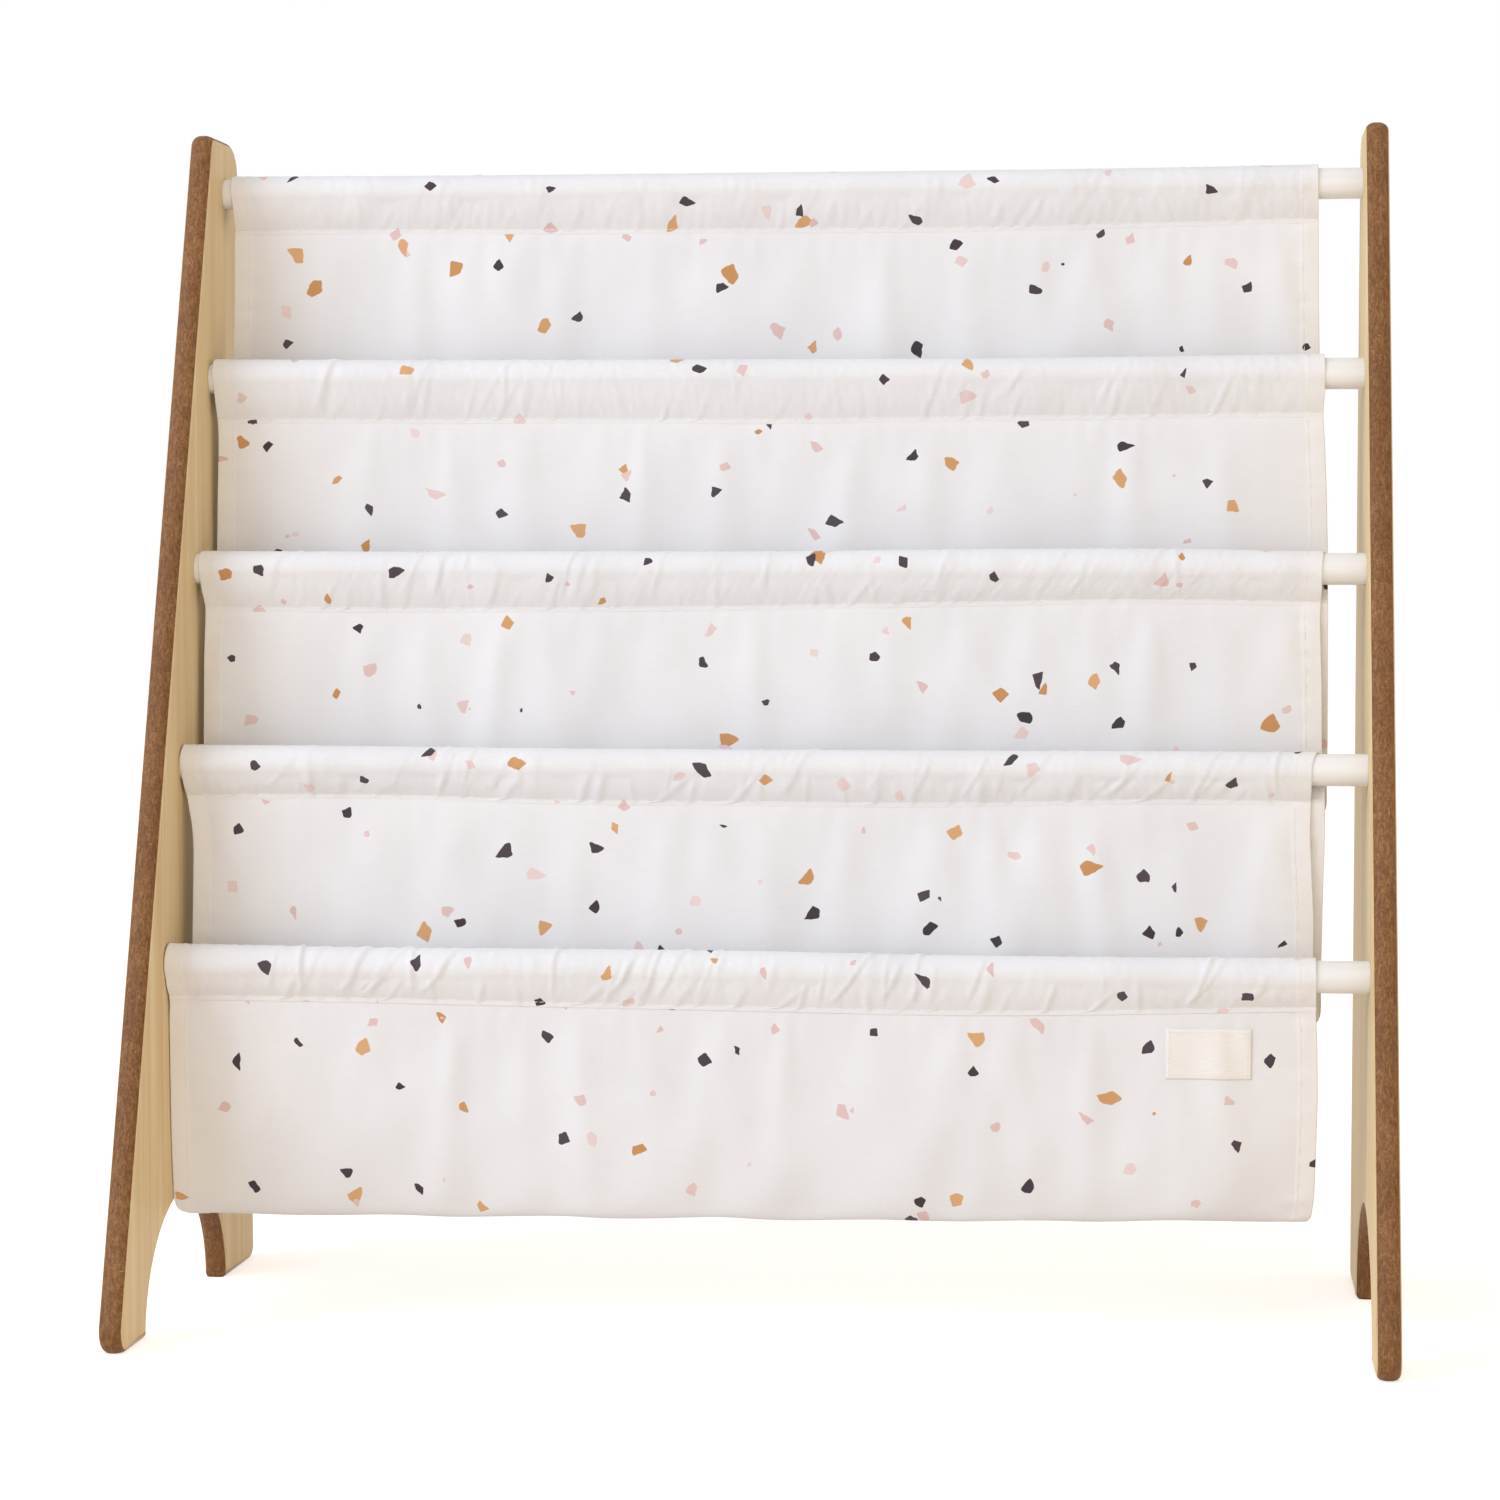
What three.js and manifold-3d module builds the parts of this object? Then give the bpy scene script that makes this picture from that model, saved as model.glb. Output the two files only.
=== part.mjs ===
// Sling bookshelf for small children. Two side panels that lean back carry five round rails, and
// a sewn cloth hangs from the rails in four book pockets, one above and behind the other.
// Millimetres. +X runs along the rails, -Y is the front and +Z is up.
// The origin is on the floor, in the middle of the footprint.

import * as THREE from 'three';
import { mergeVertices } from 'three/addons/utils/BufferGeometryUtils.js';
import Module from 'manifold-3d';

const wasm = await Module();
wasm.setup();

// Whole rack
const WIDTH = 622;
const HEIGHT = 606;
const DEPTH = 281;
const FRONT_LEAN = THREE.MathUtils.degToRad(18.6);

// Side panels: fibreboard between two thin wood veneers, with a crowned bare edge
const PANEL_THICKNESS = 12;
const VENEER_THICKNESS = 0.6;
const EDGE_CROWN = 4.5;
const EDGE_LAND = 2;
const FOOT_FLAT = 1;
const TOP_LENGTH = 58;
const TOP_FRONT_RADIUS = 8;
const TOP_REAR_RADIUS = 18;
const TOE_RADIUS = 12;
const HEEL_RADIUS = 8;
const FRONT_FOOT_LENGTH = 50;
const ARCH_WIDTH = 163;
const ARCH_HEIGHT = 60;

// Rails
const RAIL_COUNT = 5;
const RAIL_DIAMETER = 16;
const RAIL_PITCH = 104.8;
const RAIL_SETBACK = 36.4;
const TOP_RAIL_DROP = 28.6;
const RAIL_SOCKET_DEPTH = 4;

// Bolts and the threaded inserts that they turn into
const BOLT_DIAMETER = 6;
const BOLT_LENGTH = 30;
const BOLT_TIP_CHAMFER = 0.8;
const BOLT_HEAD_DIAMETER = 12;
const BOLT_HEAD_RIM = 0.6;
const BOLT_HEAD_SUNK = 0.3;
const HEX_KEY_SIZE = 4;
const HEX_KEY_DEPTH = 2.2;
const INSERT_DIAMETER = 10;
const INSERT_LENGTH = 18;
const BOLT_HOLE_SPARE = 2;

// Cloth
const CLOTH_THICKNESS = 1;
const CLOTH_LEFT_GAP = 0.5;
const CLOTH_RIGHT_GAP = 21.5;
const CLOTH_ASKEW = 5;
const SEAM_DROP = 21;
const SEAM_TAIL = 3;
const POCKET_DROP = 123.5;
const SLEEVE_BAGGINESS = 0.7;
const BAG_SPACING = 190;
const FOLD_DEPTH = 1.8;
const FOLD_SPACING = 150;
const FOLD_START = 45;
const NARROW_FOLD_SHARE = 0.47;
const NARROW_DEPTH_SHARE = 0.4;
const RAIL_PHASE_SHARE = 0.31;

// Sewn label, left blank
const LABEL_WIDTH = 42;
const LABEL_HEIGHT = 25;
const LABEL_THICKNESS = 0.6;
const LABEL_INSET = 31;
const LABEL_DROP = 26;

// Clearances
const FIT_GAP = 0.3;
const SLEEVE_GAP = 0.3;
const LAYER_GAP = 0.8;
const CUT_OVERRUN = 1;

// Facets and steps
const RAIL_FACETS = 16;
const BOLT_FACETS = 12;
const CORNER_STEPS = 4;
const ARCH_STEPS = 14;
const CROWN_STEPS = 3;
const POCKET_STATIONS = 20;
const BACK_STEPS = 4;
const TURN_STEPS = 5;
const FRONT_STEPS = 3;
const SLEEVE_STATIONS = 12;
const SLEEVE_ARC_STEPS = 8;
const HEX_SIDES = 6;

// Places worked out from the sizes above
const PANEL_OUTER_X = WIDTH / 2;
const PANEL_INNER_X = PANEL_OUTER_X - PANEL_THICKNESS;
const RAIL_END_X = PANEL_INNER_X + RAIL_SOCKET_DEPTH;
const RAIL_RADIUS = RAIL_DIAMETER / 2;
const BOLT_RADIUS = BOLT_DIAMETER / 2;
const BOLT_HEAD_RADIUS = BOLT_HEAD_DIAMETER / 2;
const INSERT_RADIUS = INSERT_DIAMETER / 2;
const BOLT_TOP_X = PANEL_OUTER_X - BOLT_HEAD_SUNK;
const BOLT_TIP_X = BOLT_TOP_X - BOLT_LENGTH;
const CLOTH_LEFT_X = CLOTH_LEFT_GAP - PANEL_INNER_X;
const CLOTH_WIDTH = PANEL_INNER_X - CLOTH_RIGHT_GAP - CLOTH_ASKEW - CLOTH_LEFT_X;
const LAYER_OFFSET = (LAYER_GAP + CLOTH_THICKNESS) / 2;
const SEAM_HALF = LAYER_GAP / 2 + CLOTH_THICKNESS;
const LAYER_TOP_DROP = SEAM_DROP + SEAM_TAIL;

// The front edge of a panel runs up from the toe point, in the plane of the panel as (y, z)
const TOE_ROUNDING = TOE_RADIUS * (Math.tan(FRONT_LEAN) + 1 / Math.cos(FRONT_LEAN) - 1);
const TOE = new THREE.Vector2(-DEPTH / 2 - TOE_ROUNDING, -FOOT_FLAT);
const UP_EDGE = new THREE.Vector2(Math.sin(FRONT_LEAN), Math.cos(FRONT_LEAN));
const INTO_PANEL = new THREE.Vector2(Math.cos(FRONT_LEAN), -Math.sin(FRONT_LEAN));

// Materials
function finish(color, roughness, metalness) {
  return new THREE.MeshStandardMaterial({ color, roughness, metalness });
}
const fibreboard = finish('#96704a', 0.85, 0);
const veneer = finish('#dcc39a', 0.55, 0);
const paintedWood = finish('#ececea', 0.4, 0);
const zincPlate = finish('#b9bcbf', 0.35, 1);
const brass = finish('#b8964e', 0.4, 1);
const canvas = finish('#f1e9e4', 0.9, 0);
const labelCloth = finish('#f6f1e6', 0.8, 0);

// Turns a closed three.js mesh into a solid that can be cut
function toSolid(geometry) {
  const bare = geometry.clone();
  bare.deleteAttribute('normal');
  bare.deleteAttribute('uv');
  const merged = mergeVertices(bare);
  return new wasm.Manifold(new wasm.Mesh({
    numProp: 3,
    vertProperties: merged.attributes.position.array,
    triVerts: merged.index.array,
  }));
}

// Turns a cut solid back into a three.js mesh
function toGeometry(solid) {
  const mesh = solid.getMesh();
  return trianglesToGeometry(Array.from(mesh.vertProperties), Array.from(mesh.triVerts));
}

function trianglesToGeometry(positions, triangles) {
  const geometry = new THREE.BufferGeometry();
  geometry.setAttribute('position', new THREE.Float32BufferAttribute(positions, 3));
  geometry.setIndex(triangles);
  geometry.computeVertexNormals();
  return geometry;
}

function named(name, geometry, material) {
  const mesh = new THREE.Mesh(geometry, material);
  mesh.name = name;
  return mesh;
}

// A turned shape about a line along X. Points are (radius, x), and side 1 or -1 is right or left.
function turned(points, facets, side, centre) {
  const profile = points.map(([radius, x]) => new THREE.Vector2(radius, x));
  const geometry = new THREE.LatheGeometry(profile, facets);
  geometry.rotateZ(-side * Math.PI / 2);
  geometry.translate(0, centre.x, centre.y);
  return geometry;
}

// Middle of a rail in the plane of a panel. Rail 0 is the top one.
function railCentre(number) {
  const topHeight = HEIGHT - TOP_RAIL_DROP - TOE.y + RAIL_SETBACK * Math.sin(FRONT_LEAN);
  const along = topHeight / Math.cos(FRONT_LEAN) - number * RAIL_PITCH;
  return TOE.clone().addScaledVector(INTO_PANEL, RAIL_SETBACK).addScaledVector(UP_EDGE, along);
}

// Points of a rounded corner between two straight edges of an outline
function roundedCorner(before, corner, after, radius) {
  const back = before.clone().sub(corner).normalize();
  const ahead = after.clone().sub(corner).normalize();
  const half = back.angleTo(ahead) / 2;
  const centre = back.clone().add(ahead).normalize().multiplyScalar(radius / Math.sin(half)).add(corner);
  const reach = radius / Math.tan(half);
  const start = back.multiplyScalar(reach).add(corner).sub(centre);
  const end = ahead.multiplyScalar(reach).add(corner).sub(centre);
  const turn = Math.atan2(start.cross(end), start.dot(end));
  const points = [];
  for (let step = 0; step <= CORNER_STEPS; step += 1) {
    const share = step / CORNER_STEPS;
    points.push(start.clone().rotateAround(new THREE.Vector2(), turn * share).add(centre));
  }
  return points;
}

// Outline of a side panel, from the arch round the rear foot, the top and the toe
function panelOutline() {
  const archStart = -DEPTH / 2 + FRONT_FOOT_LENGTH;
  const archMiddle = archStart + ARCH_WIDTH / 2;
  const topFront = TOE.clone().addScaledVector(UP_EDGE, (HEIGHT - TOE.y) / Math.cos(FRONT_LEAN));
  const topRear = new THREE.Vector2(topFront.x + TOP_LENGTH, HEIGHT);
  const heel = new THREE.Vector2(DEPTH / 2, TOE.y);
  const archRear = new THREE.Vector2(archStart + ARCH_WIDTH, TOE.y);
  const outline = [];
  for (let step = 0; step <= ARCH_STEPS; step += 1) {
    const angle = Math.PI * (1 - step / ARCH_STEPS);
    const rise = (ARCH_HEIGHT - TOE.y) * Math.sin(angle);
    outline.push(new THREE.Vector2(archMiddle + ARCH_WIDTH / 2 * Math.cos(angle), TOE.y + rise));
  }
  outline.push(...roundedCorner(archRear, heel, topRear, HEEL_RADIUS));
  outline.push(...roundedCorner(heel, topRear, topFront, TOP_REAR_RADIUS));
  outline.push(...roundedCorner(topRear, topFront, TOE, TOP_FRONT_RADIUS));
  outline.push(...roundedCorner(topFront, TOE, archRear, TOE_RADIUS));
  return outline;
}

// A box between two x planes, larger than a panel in the other directions, standing on the floor
function slab(lowX, highX) {
  const box = new THREE.BoxGeometry(highX - lowX, DEPTH * 2, HEIGHT * 2);
  box.translate((lowX + highX) / 2, 0, HEIGHT);
  return toSolid(box);
}

// What is bored out of a panel for one rail: its socket, the bolt hole and the countersink
function railBore(side, centre) {
  const headRadius = BOLT_HEAD_RADIUS + FIT_GAP;
  const shankRadius = BOLT_RADIUS + FIT_GAP;
  const socketRadius = RAIL_RADIUS + FIT_GAP;
  const rimX = BOLT_TOP_X - BOLT_HEAD_RIM - FIT_GAP;
  const coneEndX = rimX - (headRadius - shankRadius);
  return toSolid(turned([
    [0, PANEL_INNER_X - CUT_OVERRUN],
    [socketRadius, PANEL_INNER_X - CUT_OVERRUN],
    [socketRadius, RAIL_END_X],
    [shankRadius, RAIL_END_X],
    [shankRadius, coneEndX],
    [headRadius, rimX],
    [headRadius, PANEL_OUTER_X + CUT_OVERRUN],
    [0, PANEL_OUTER_X + CUT_OVERRUN],
  ], RAIL_FACETS, side, centre));
}

// One side panel as three glued layers: core, outer veneer and inner veneer
function sidePanel(side, label) {
  const board = new THREE.ExtrudeGeometry(new THREE.Shape(panelOutline()), {
    depth: EDGE_LAND,
    bevelEnabled: true,
    bevelThickness: (PANEL_THICKNESS - EDGE_LAND) / 2,
    bevelSize: EDGE_CROWN,
    bevelOffset: -EDGE_CROWN,
    bevelSegments: CROWN_STEPS,
  });
  board.translate(0, 0, -EDGE_LAND / 2);
  const across = new THREE.Vector3(0, 1, 0);
  const up = new THREE.Vector3(0, 0, 1);
  const along = new THREE.Vector3(1, 0, 0);
  board.applyMatrix4(new THREE.Matrix4().makeBasis(across, up, along));
  board.translate(side * (PANEL_OUTER_X - PANEL_THICKNESS / 2), 0, 0);
  let panel = toSolid(board);
  for (let number = 0; number < RAIL_COUNT; number += 1) {
    panel = panel.subtract(railBore(side, railCentre(number)));
  }
  const layers = [
    ['inner_veneer', PANEL_INNER_X - CUT_OVERRUN, PANEL_INNER_X + VENEER_THICKNESS, veneer],
    ['core', PANEL_INNER_X + VENEER_THICKNESS, PANEL_OUTER_X - VENEER_THICKNESS, fibreboard],
    ['outer_veneer', PANEL_OUTER_X - VENEER_THICKNESS, PANEL_OUTER_X + CUT_OVERRUN, veneer],
  ];
  const group = new THREE.Group();
  for (const [layer, nearX, farX, material] of layers) {
    const cut = slab(Math.min(side * nearX, side * farX), Math.max(side * nearX, side * farX));
    group.add(named(`${label}_panel_${layer}`, toGeometry(panel.intersect(cut)), material));
  }
  return group;
}

// A rail with a stepped bore in each end for its insert and the tip of the bolt
function rail(number) {
  const insertEndX = RAIL_END_X - INSERT_LENGTH;
  const boreEndX = BOLT_TIP_X - BOLT_HOLE_SPARE;
  const insertBore = INSERT_RADIUS + FIT_GAP;
  const boltBore = BOLT_RADIUS + FIT_GAP;
  const half = [
    [0, boreEndX],
    [boltBore, boreEndX],
    [boltBore, insertEndX],
    [insertBore, insertEndX],
    [insertBore, RAIL_END_X],
    [RAIL_RADIUS, RAIL_END_X],
  ];
  const points = half.map(([radius, x]) => [radius, -x]).concat(half.reverse());
  return named(`rail_${number + 1}`, turned(points, RAIL_FACETS, 1, railCentre(number)), paintedWood);
}

// Insert with its bore along the rail
function insert(number, side, label) {
  const outerX = RAIL_END_X;
  const innerX = RAIL_END_X - INSERT_LENGTH;
  const bore = BOLT_RADIUS + FIT_GAP;
  const geometry = turned([
    [bore, innerX],
    [INSERT_RADIUS, innerX],
    [INSERT_RADIUS, outerX],
    [bore, outerX],
    [bore, innerX],
  ], BOLT_FACETS, side, railCentre(number));
  return named(`rail_${number + 1}_${label}_insert`, geometry, brass);
}

// Countersunk bolt with a hexagon socket in its head
function bolt(number, side, label) {
  const centre = railCentre(number);
  const rimX = BOLT_TOP_X - BOLT_HEAD_RIM;
  const body = toSolid(turned([
    [0, BOLT_TIP_X],
    [BOLT_RADIUS - BOLT_TIP_CHAMFER, BOLT_TIP_X],
    [BOLT_RADIUS, BOLT_TIP_X + BOLT_TIP_CHAMFER],
    [BOLT_RADIUS, rimX - (BOLT_HEAD_RADIUS - BOLT_RADIUS)],
    [BOLT_HEAD_RADIUS, rimX],
    [BOLT_HEAD_RADIUS, BOLT_TOP_X],
    [0, BOLT_TOP_X],
  ], BOLT_FACETS, side, centre));
  const hexRadius = HEX_KEY_SIZE / Math.sqrt(3);
  const key = toSolid(turned([
    [0, BOLT_TOP_X - HEX_KEY_DEPTH],
    [hexRadius, BOLT_TOP_X - HEX_KEY_DEPTH],
    [hexRadius, BOLT_TOP_X + CUT_OVERRUN],
    [0, BOLT_TOP_X + CUT_OVERRUN],
  ], HEX_SIDES, side, centre));
  return named(`rail_${number + 1}_${label}_bolt`, toGeometry(body.subtract(key)), zincPlate);
}

// How far the cloth under a rail swings back at a place along it, at a depth below the seam
function foldSwing(number, x, depth) {
  const growth = 1 - Math.exp(-depth / FOLD_START);
  const phase = 2 * Math.PI * RAIL_PHASE_SHARE * number;
  const wide = Math.sin(2 * Math.PI * x / FOLD_SPACING + phase);
  const narrow = Math.sin(2 * Math.PI * x / (FOLD_SPACING * NARROW_FOLD_SHARE) - phase);
  return FOLD_DEPTH * growth * (wide + NARROW_DEPTH_SHARE * narrow) / (1 + NARROW_DEPTH_SHARE);
}

// Middle line of a pocket's cloth at one place along it, down its back and up its front.
// Each entry is the point and the direction that faces away from the books, as (y, z).
function pocketLine(number, x) {
  const rear = railCentre(number);
  const front = railCentre(number + 1);
  const backY = rear.x - LAYER_OFFSET;
  const frontY = front.x + LAYER_OFFSET;
  const radius = (backY - frontY) / 2;
  const turnZ = front.y - POCKET_DROP + CLOTH_THICKNESS / 2 + radius;
  const backTop = rear.y - LAYER_TOP_DROP;
  const frontTop = front.y - LAYER_TOP_DROP;
  const backTurnSwing = foldSwing(number, x, backTop - turnZ);
  const frontTurnSwing = foldSwing(number + 1, x, frontTop - turnZ);
  const line = [];
  for (let step = 0; step <= BACK_STEPS; step += 1) {
    const depth = (backTop - turnZ) * step / BACK_STEPS;
    const swing = foldSwing(number, x, depth);
    line.push([new THREE.Vector2(backY + swing, backTop - depth), new THREE.Vector2(1, 0)]);
  }
  for (let step = 1; step < TURN_STEPS; step += 1) {
    const share = step / TURN_STEPS;
    const away = new THREE.Vector2(Math.cos(Math.PI * share), -Math.sin(Math.PI * share));
    const swing = THREE.MathUtils.lerp(backTurnSwing, frontTurnSwing, share);
    const middle = new THREE.Vector2((backY + frontY) / 2 + swing, turnZ);
    line.push([middle.addScaledVector(away, radius), away]);
  }
  for (let step = FRONT_STEPS; step >= 0; step -= 1) {
    const depth = (frontTop - turnZ) * step / FRONT_STEPS;
    const swing = foldSwing(number + 1, x, depth);
    line.push([new THREE.Vector2(frontY + swing, frontTop - depth), new THREE.Vector2(-1, 0)]);
  }
  return line;
}

// Closed section of a pocket's cloth at one place along it
function pocketSection(number, x) {
  const half = CLOTH_THICKNESS / 2;
  const line = pocketLine(number, x);
  const inside = line.map(([point, away]) => point.clone().addScaledVector(away, -half));
  const outside = line.map(([point, away]) => point.clone().addScaledVector(away, half));
  return inside.concat(outside.reverse());
}

// The sling hangs a little askew: its top sits further right than its lowest fold
function askew(z) {
  const lowest = railCentre(RAIL_COUNT - 1).y - POCKET_DROP;
  return CLOTH_ASKEW * (z - lowest) / (railCentre(0).y - lowest);
}

// Inner or outer ring of a sleeve: over the rail, and down to the seam below it
function sleeveRing(centre, radius, seam) {
  const spread = Math.acos(radius / SEAM_DROP);
  const ring = [];
  for (let step = 0; step <= SLEEVE_ARC_STEPS; step += 1) {
    const angle = spread + 2 * (Math.PI - spread) * step / SLEEVE_ARC_STEPS;
    const round = new THREE.Vector2(Math.sin(angle), -Math.cos(angle));
    ring.push(centre.clone().addScaledVector(round, radius));
  }
  for (const [y, z] of seam) {
    ring.push(new THREE.Vector2(centre.x + y, centre.y + z));
  }
  return ring;
}

// Sections of a sleeve at one place along it: its outside and the hollow for the rail
function sleeveSections(number, x) {
  const centre = railCentre(number);
  const phase = 2 * Math.PI * RAIL_PHASE_SHARE * number;
  const bag = SLEEVE_BAGGINESS * (1 + Math.sin(2 * Math.PI * x / BAG_SPACING + phase)) / 2;
  const innerRadius = RAIL_RADIUS + SLEEVE_GAP + bag;
  const outerRadius = innerRadius + CLOTH_THICKNESS;
  const outside = sleeveRing(centre, outerRadius, [
    [-SEAM_HALF, -SEAM_DROP],
    [-SEAM_HALF, -LAYER_TOP_DROP],
    [SEAM_HALF, -LAYER_TOP_DROP],
    [SEAM_HALF, -SEAM_DROP],
  ]);
  const hollow = sleeveRing(centre, innerRadius, [[0, CLOTH_THICKNESS - SEAM_DROP]]);
  return [outside, hollow.reverse()];
}

// Closed mesh through sections that repeat along the cloth. The first ring is the outside of
// each section and any other ring is a hollow through it.
function clothAlong(stations, sectionsAt) {
  const positions = [];
  const triangles = [];
  const rings = [];
  for (let station = 0; station <= stations; station += 1) {
    const x = CLOTH_LEFT_X + CLOTH_WIDTH * station / stations;
    rings.push(sectionsAt(x).map((ring) => ring.map((point) => {
      positions.push(x + askew(point.y), point.x, point.y);
      return positions.length / 3 - 1;
    })));
  }
  for (let station = 0; station < stations; station += 1) {
    rings[station].forEach((ring, index) => {
      const next = rings[station + 1][index];
      ring.forEach((corner, place) => {
        const beside = (place + 1) % ring.length;
        triangles.push(corner, ring[beside], next[place]);
        triangles.push(ring[beside], next[beside], next[place]);
      });
    });
  }
  for (const end of [0, stations]) {
    const x = CLOTH_LEFT_X + CLOTH_WIDTH * end / stations;
    const [outside, ...hollows] = sectionsAt(x);
    const corners = rings[end].flat();
    for (const [a, b, c] of THREE.ShapeUtils.triangulateShape(outside, hollows)) {
      const face = [corners[a], corners[b], corners[c]];
      triangles.push(...(end === 0 ? face.reverse() : face));
    }
  }
  return trianglesToGeometry(positions, triangles);
}

function pocket(number) {
  const geometry = clothAlong(POCKET_STATIONS, (x) => [pocketSection(number, x)]);
  return named(`pocket_${number + 1}`, geometry, canvas);
}

function sleeve(number) {
  const geometry = clothAlong(SLEEVE_STATIONS, (x) => sleeveSections(number, x));
  return named(`sleeve_${number + 1}`, geometry, canvas);
}

// Blank label, flat against the foremost place of the cloth behind it
function blankLabel() {
  const lastRail = RAIL_COUNT - 1;
  const centre = railCentre(lastRail);
  const labelX = CLOTH_LEFT_X + CLOTH_WIDTH - LABEL_INSET - LABEL_WIDTH / 2;
  const labelZ = centre.y - LABEL_DROP - LABEL_HEIGHT / 2;
  const depth = LABEL_DROP + LABEL_HEIGHT - LAYER_TOP_DROP;
  let foremost = Infinity;
  for (let station = 0; station <= POCKET_STATIONS; station += 1) {
    const x = CLOTH_LEFT_X + CLOTH_WIDTH * station / POCKET_STATIONS;
    const near = Math.abs(x - labelX) < LABEL_WIDTH / 2 + CLOTH_WIDTH / POCKET_STATIONS;
    foremost = near ? Math.min(foremost, foldSwing(lastRail, x, depth)) : foremost;
  }
  const clothFrontY = centre.x + LAYER_OFFSET - CLOTH_THICKNESS / 2 + Math.min(foremost, 0);
  const geometry = new THREE.BoxGeometry(LABEL_WIDTH, LABEL_THICKNESS, LABEL_HEIGHT);
  const labelY = clothFrontY - FIT_GAP - LABEL_THICKNESS / 2;
  geometry.translate(labelX + askew(labelZ), labelY, labelZ);
  return named('blank_label', geometry, labelCloth);
}

// The frame: panels, rails and fasteners
function frame() {
  const group = new THREE.Group();
  for (const [side, label] of [[-1, 'left'], [1, 'right']]) {
    group.add(sidePanel(side, label));
    for (let number = 0; number < RAIL_COUNT; number += 1) {
      group.add(insert(number, side, label), bolt(number, side, label));
    }
  }
  for (let number = 0; number < RAIL_COUNT; number += 1) {
    group.add(rail(number));
  }
  return group;
}

// The sling, which slides along the rails as one
function sling() {
  const group = new THREE.Group();
  for (let number = 0; number < RAIL_COUNT; number += 1) {
    group.add(sleeve(number));
  }
  for (let number = 0; number < RAIL_COUNT - 1; number += 1) {
    group.add(pocket(number));
  }
  group.add(blankLabel());
  return group;
}

const bookshelf = new THREE.Group();
bookshelf.add(frame(), sling());

export default bookshelf;
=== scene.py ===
"""Sling bookshelf for small children: veneered fibreboard panels, white rails and a printed cloth sling.

Lengths are written in millimetres and turned to metres where a mesh is made. Those of patterns and lamps are in metres.
X runs along the rails, -Y is the front and Z is up. The origin is on the floor, in the middle.
"""

import math

import bmesh
import bpy
import numpy as np
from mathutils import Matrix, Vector


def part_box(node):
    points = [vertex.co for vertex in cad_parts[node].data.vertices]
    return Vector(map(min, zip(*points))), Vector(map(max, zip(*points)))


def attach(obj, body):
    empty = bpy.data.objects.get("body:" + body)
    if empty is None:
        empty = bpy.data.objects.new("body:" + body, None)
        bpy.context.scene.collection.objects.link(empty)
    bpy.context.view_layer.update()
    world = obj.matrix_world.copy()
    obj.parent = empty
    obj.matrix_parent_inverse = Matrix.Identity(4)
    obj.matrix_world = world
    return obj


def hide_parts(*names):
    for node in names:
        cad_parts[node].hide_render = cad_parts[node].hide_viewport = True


MM = 0.001

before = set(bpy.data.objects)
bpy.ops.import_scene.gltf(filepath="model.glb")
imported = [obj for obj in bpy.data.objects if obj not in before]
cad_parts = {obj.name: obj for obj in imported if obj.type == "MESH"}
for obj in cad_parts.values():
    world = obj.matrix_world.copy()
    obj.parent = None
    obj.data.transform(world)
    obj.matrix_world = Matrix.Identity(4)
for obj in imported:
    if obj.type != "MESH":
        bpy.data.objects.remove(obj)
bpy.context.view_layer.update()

# Camera, fitted to the panel edges, the feet and the rails
camera_data = bpy.data.cameras.new("camera")
camera_data.sensor_width = 36
camera_data.lens = 94.98
camera = bpy.data.objects.new("camera", camera_data)
camera.location = (0.2023, -1.9872, 0.3833)
camera.rotation_euler = (math.pi / 2 - 0.048, 0, 0.1061)
bpy.context.scene.collection.objects.link(camera)
bpy.context.scene.camera = camera
bpy.context.scene.view_settings.view_transform = "Standard"

# Side panels, as in the CAD, with finer steps round the corners and the arch
WIDTH = 622
HEIGHT = 606
DEPTH = 281
FRONT_LEAN = math.radians(18.6)
PANEL_THICKNESS = 12
VENEER_THICKNESS = 0.6
EDGE_CROWN = 4.5
EDGE_LAND = 2
FOOT_FLAT = 1
TOP_LENGTH = 58
TOP_FRONT_RADIUS = 8
TOP_REAR_RADIUS = 18
TOE_RADIUS = 12
HEEL_RADIUS = 8
FRONT_FOOT_LENGTH = 50
ARCH_WIDTH = 163
ARCH_HEIGHT = 60
CORNER_STEPS = 14
ARCH_STEPS = 72
CROWN_STEPS = 7

# Rails, bolts and their bores
RAIL_COUNT = 5
RAIL_RADIUS = 8
RAIL_END = 303
RAIL_CHAMFER = 0.5
RAIL_FACETS = 64
FIT_GAP = 0.3
BOLT_RADIUS = 3
BOLT_TOP = 310.7
BOLT_TIP = 280.7
BOLT_HEAD_RADIUS = 6
BOLT_HEAD_RIM = 0.6
BOLT_HEAD_CHAMFER = 0.15
BOLT_TIP_CHAMFER = 0.8
BOLT_SEED = 3
HEX_KEY_SIZE = 4
HEX_KEY_DEPTH = 2.2
INSERT_RADIUS = 5
INSERT_LENGTH = 18
BOLT_HOLE_SPARE = 2
BORE_FACETS = 48

# Printed chips. Each colour has its spacing and longest reach in metres, a shift, and its darkest and palest ink.
# Their sides are bent by up to CHIP_BEND metres over CHIP_BEND_LENGTH.
CHIP_COLOURS = (
    (0.073, 0.0041, (0.31, 0.57, 0), "#CB9560", "#DDAD7C"),
    (0.051, 0.0033, (0.83, 0.19, 0), "#E4C6C4", "#EEDAD8"),
    (0.055, 0.0032, (0.11, 0.91, 0), "#453B42", "#554B52"),
)
CHIP_SIDES = 5
CHIP_SPECK = 0.0006
CHIP_BEND = 0.00085
CHIP_BEND_LENGTH = 0.0042
CHIP_TURN = 1.25
CHIP_STRETCH = (0.6, 1.25)
CHIP_SOFTNESS = 0.5
CHIP_SHARE = 0.9

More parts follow.
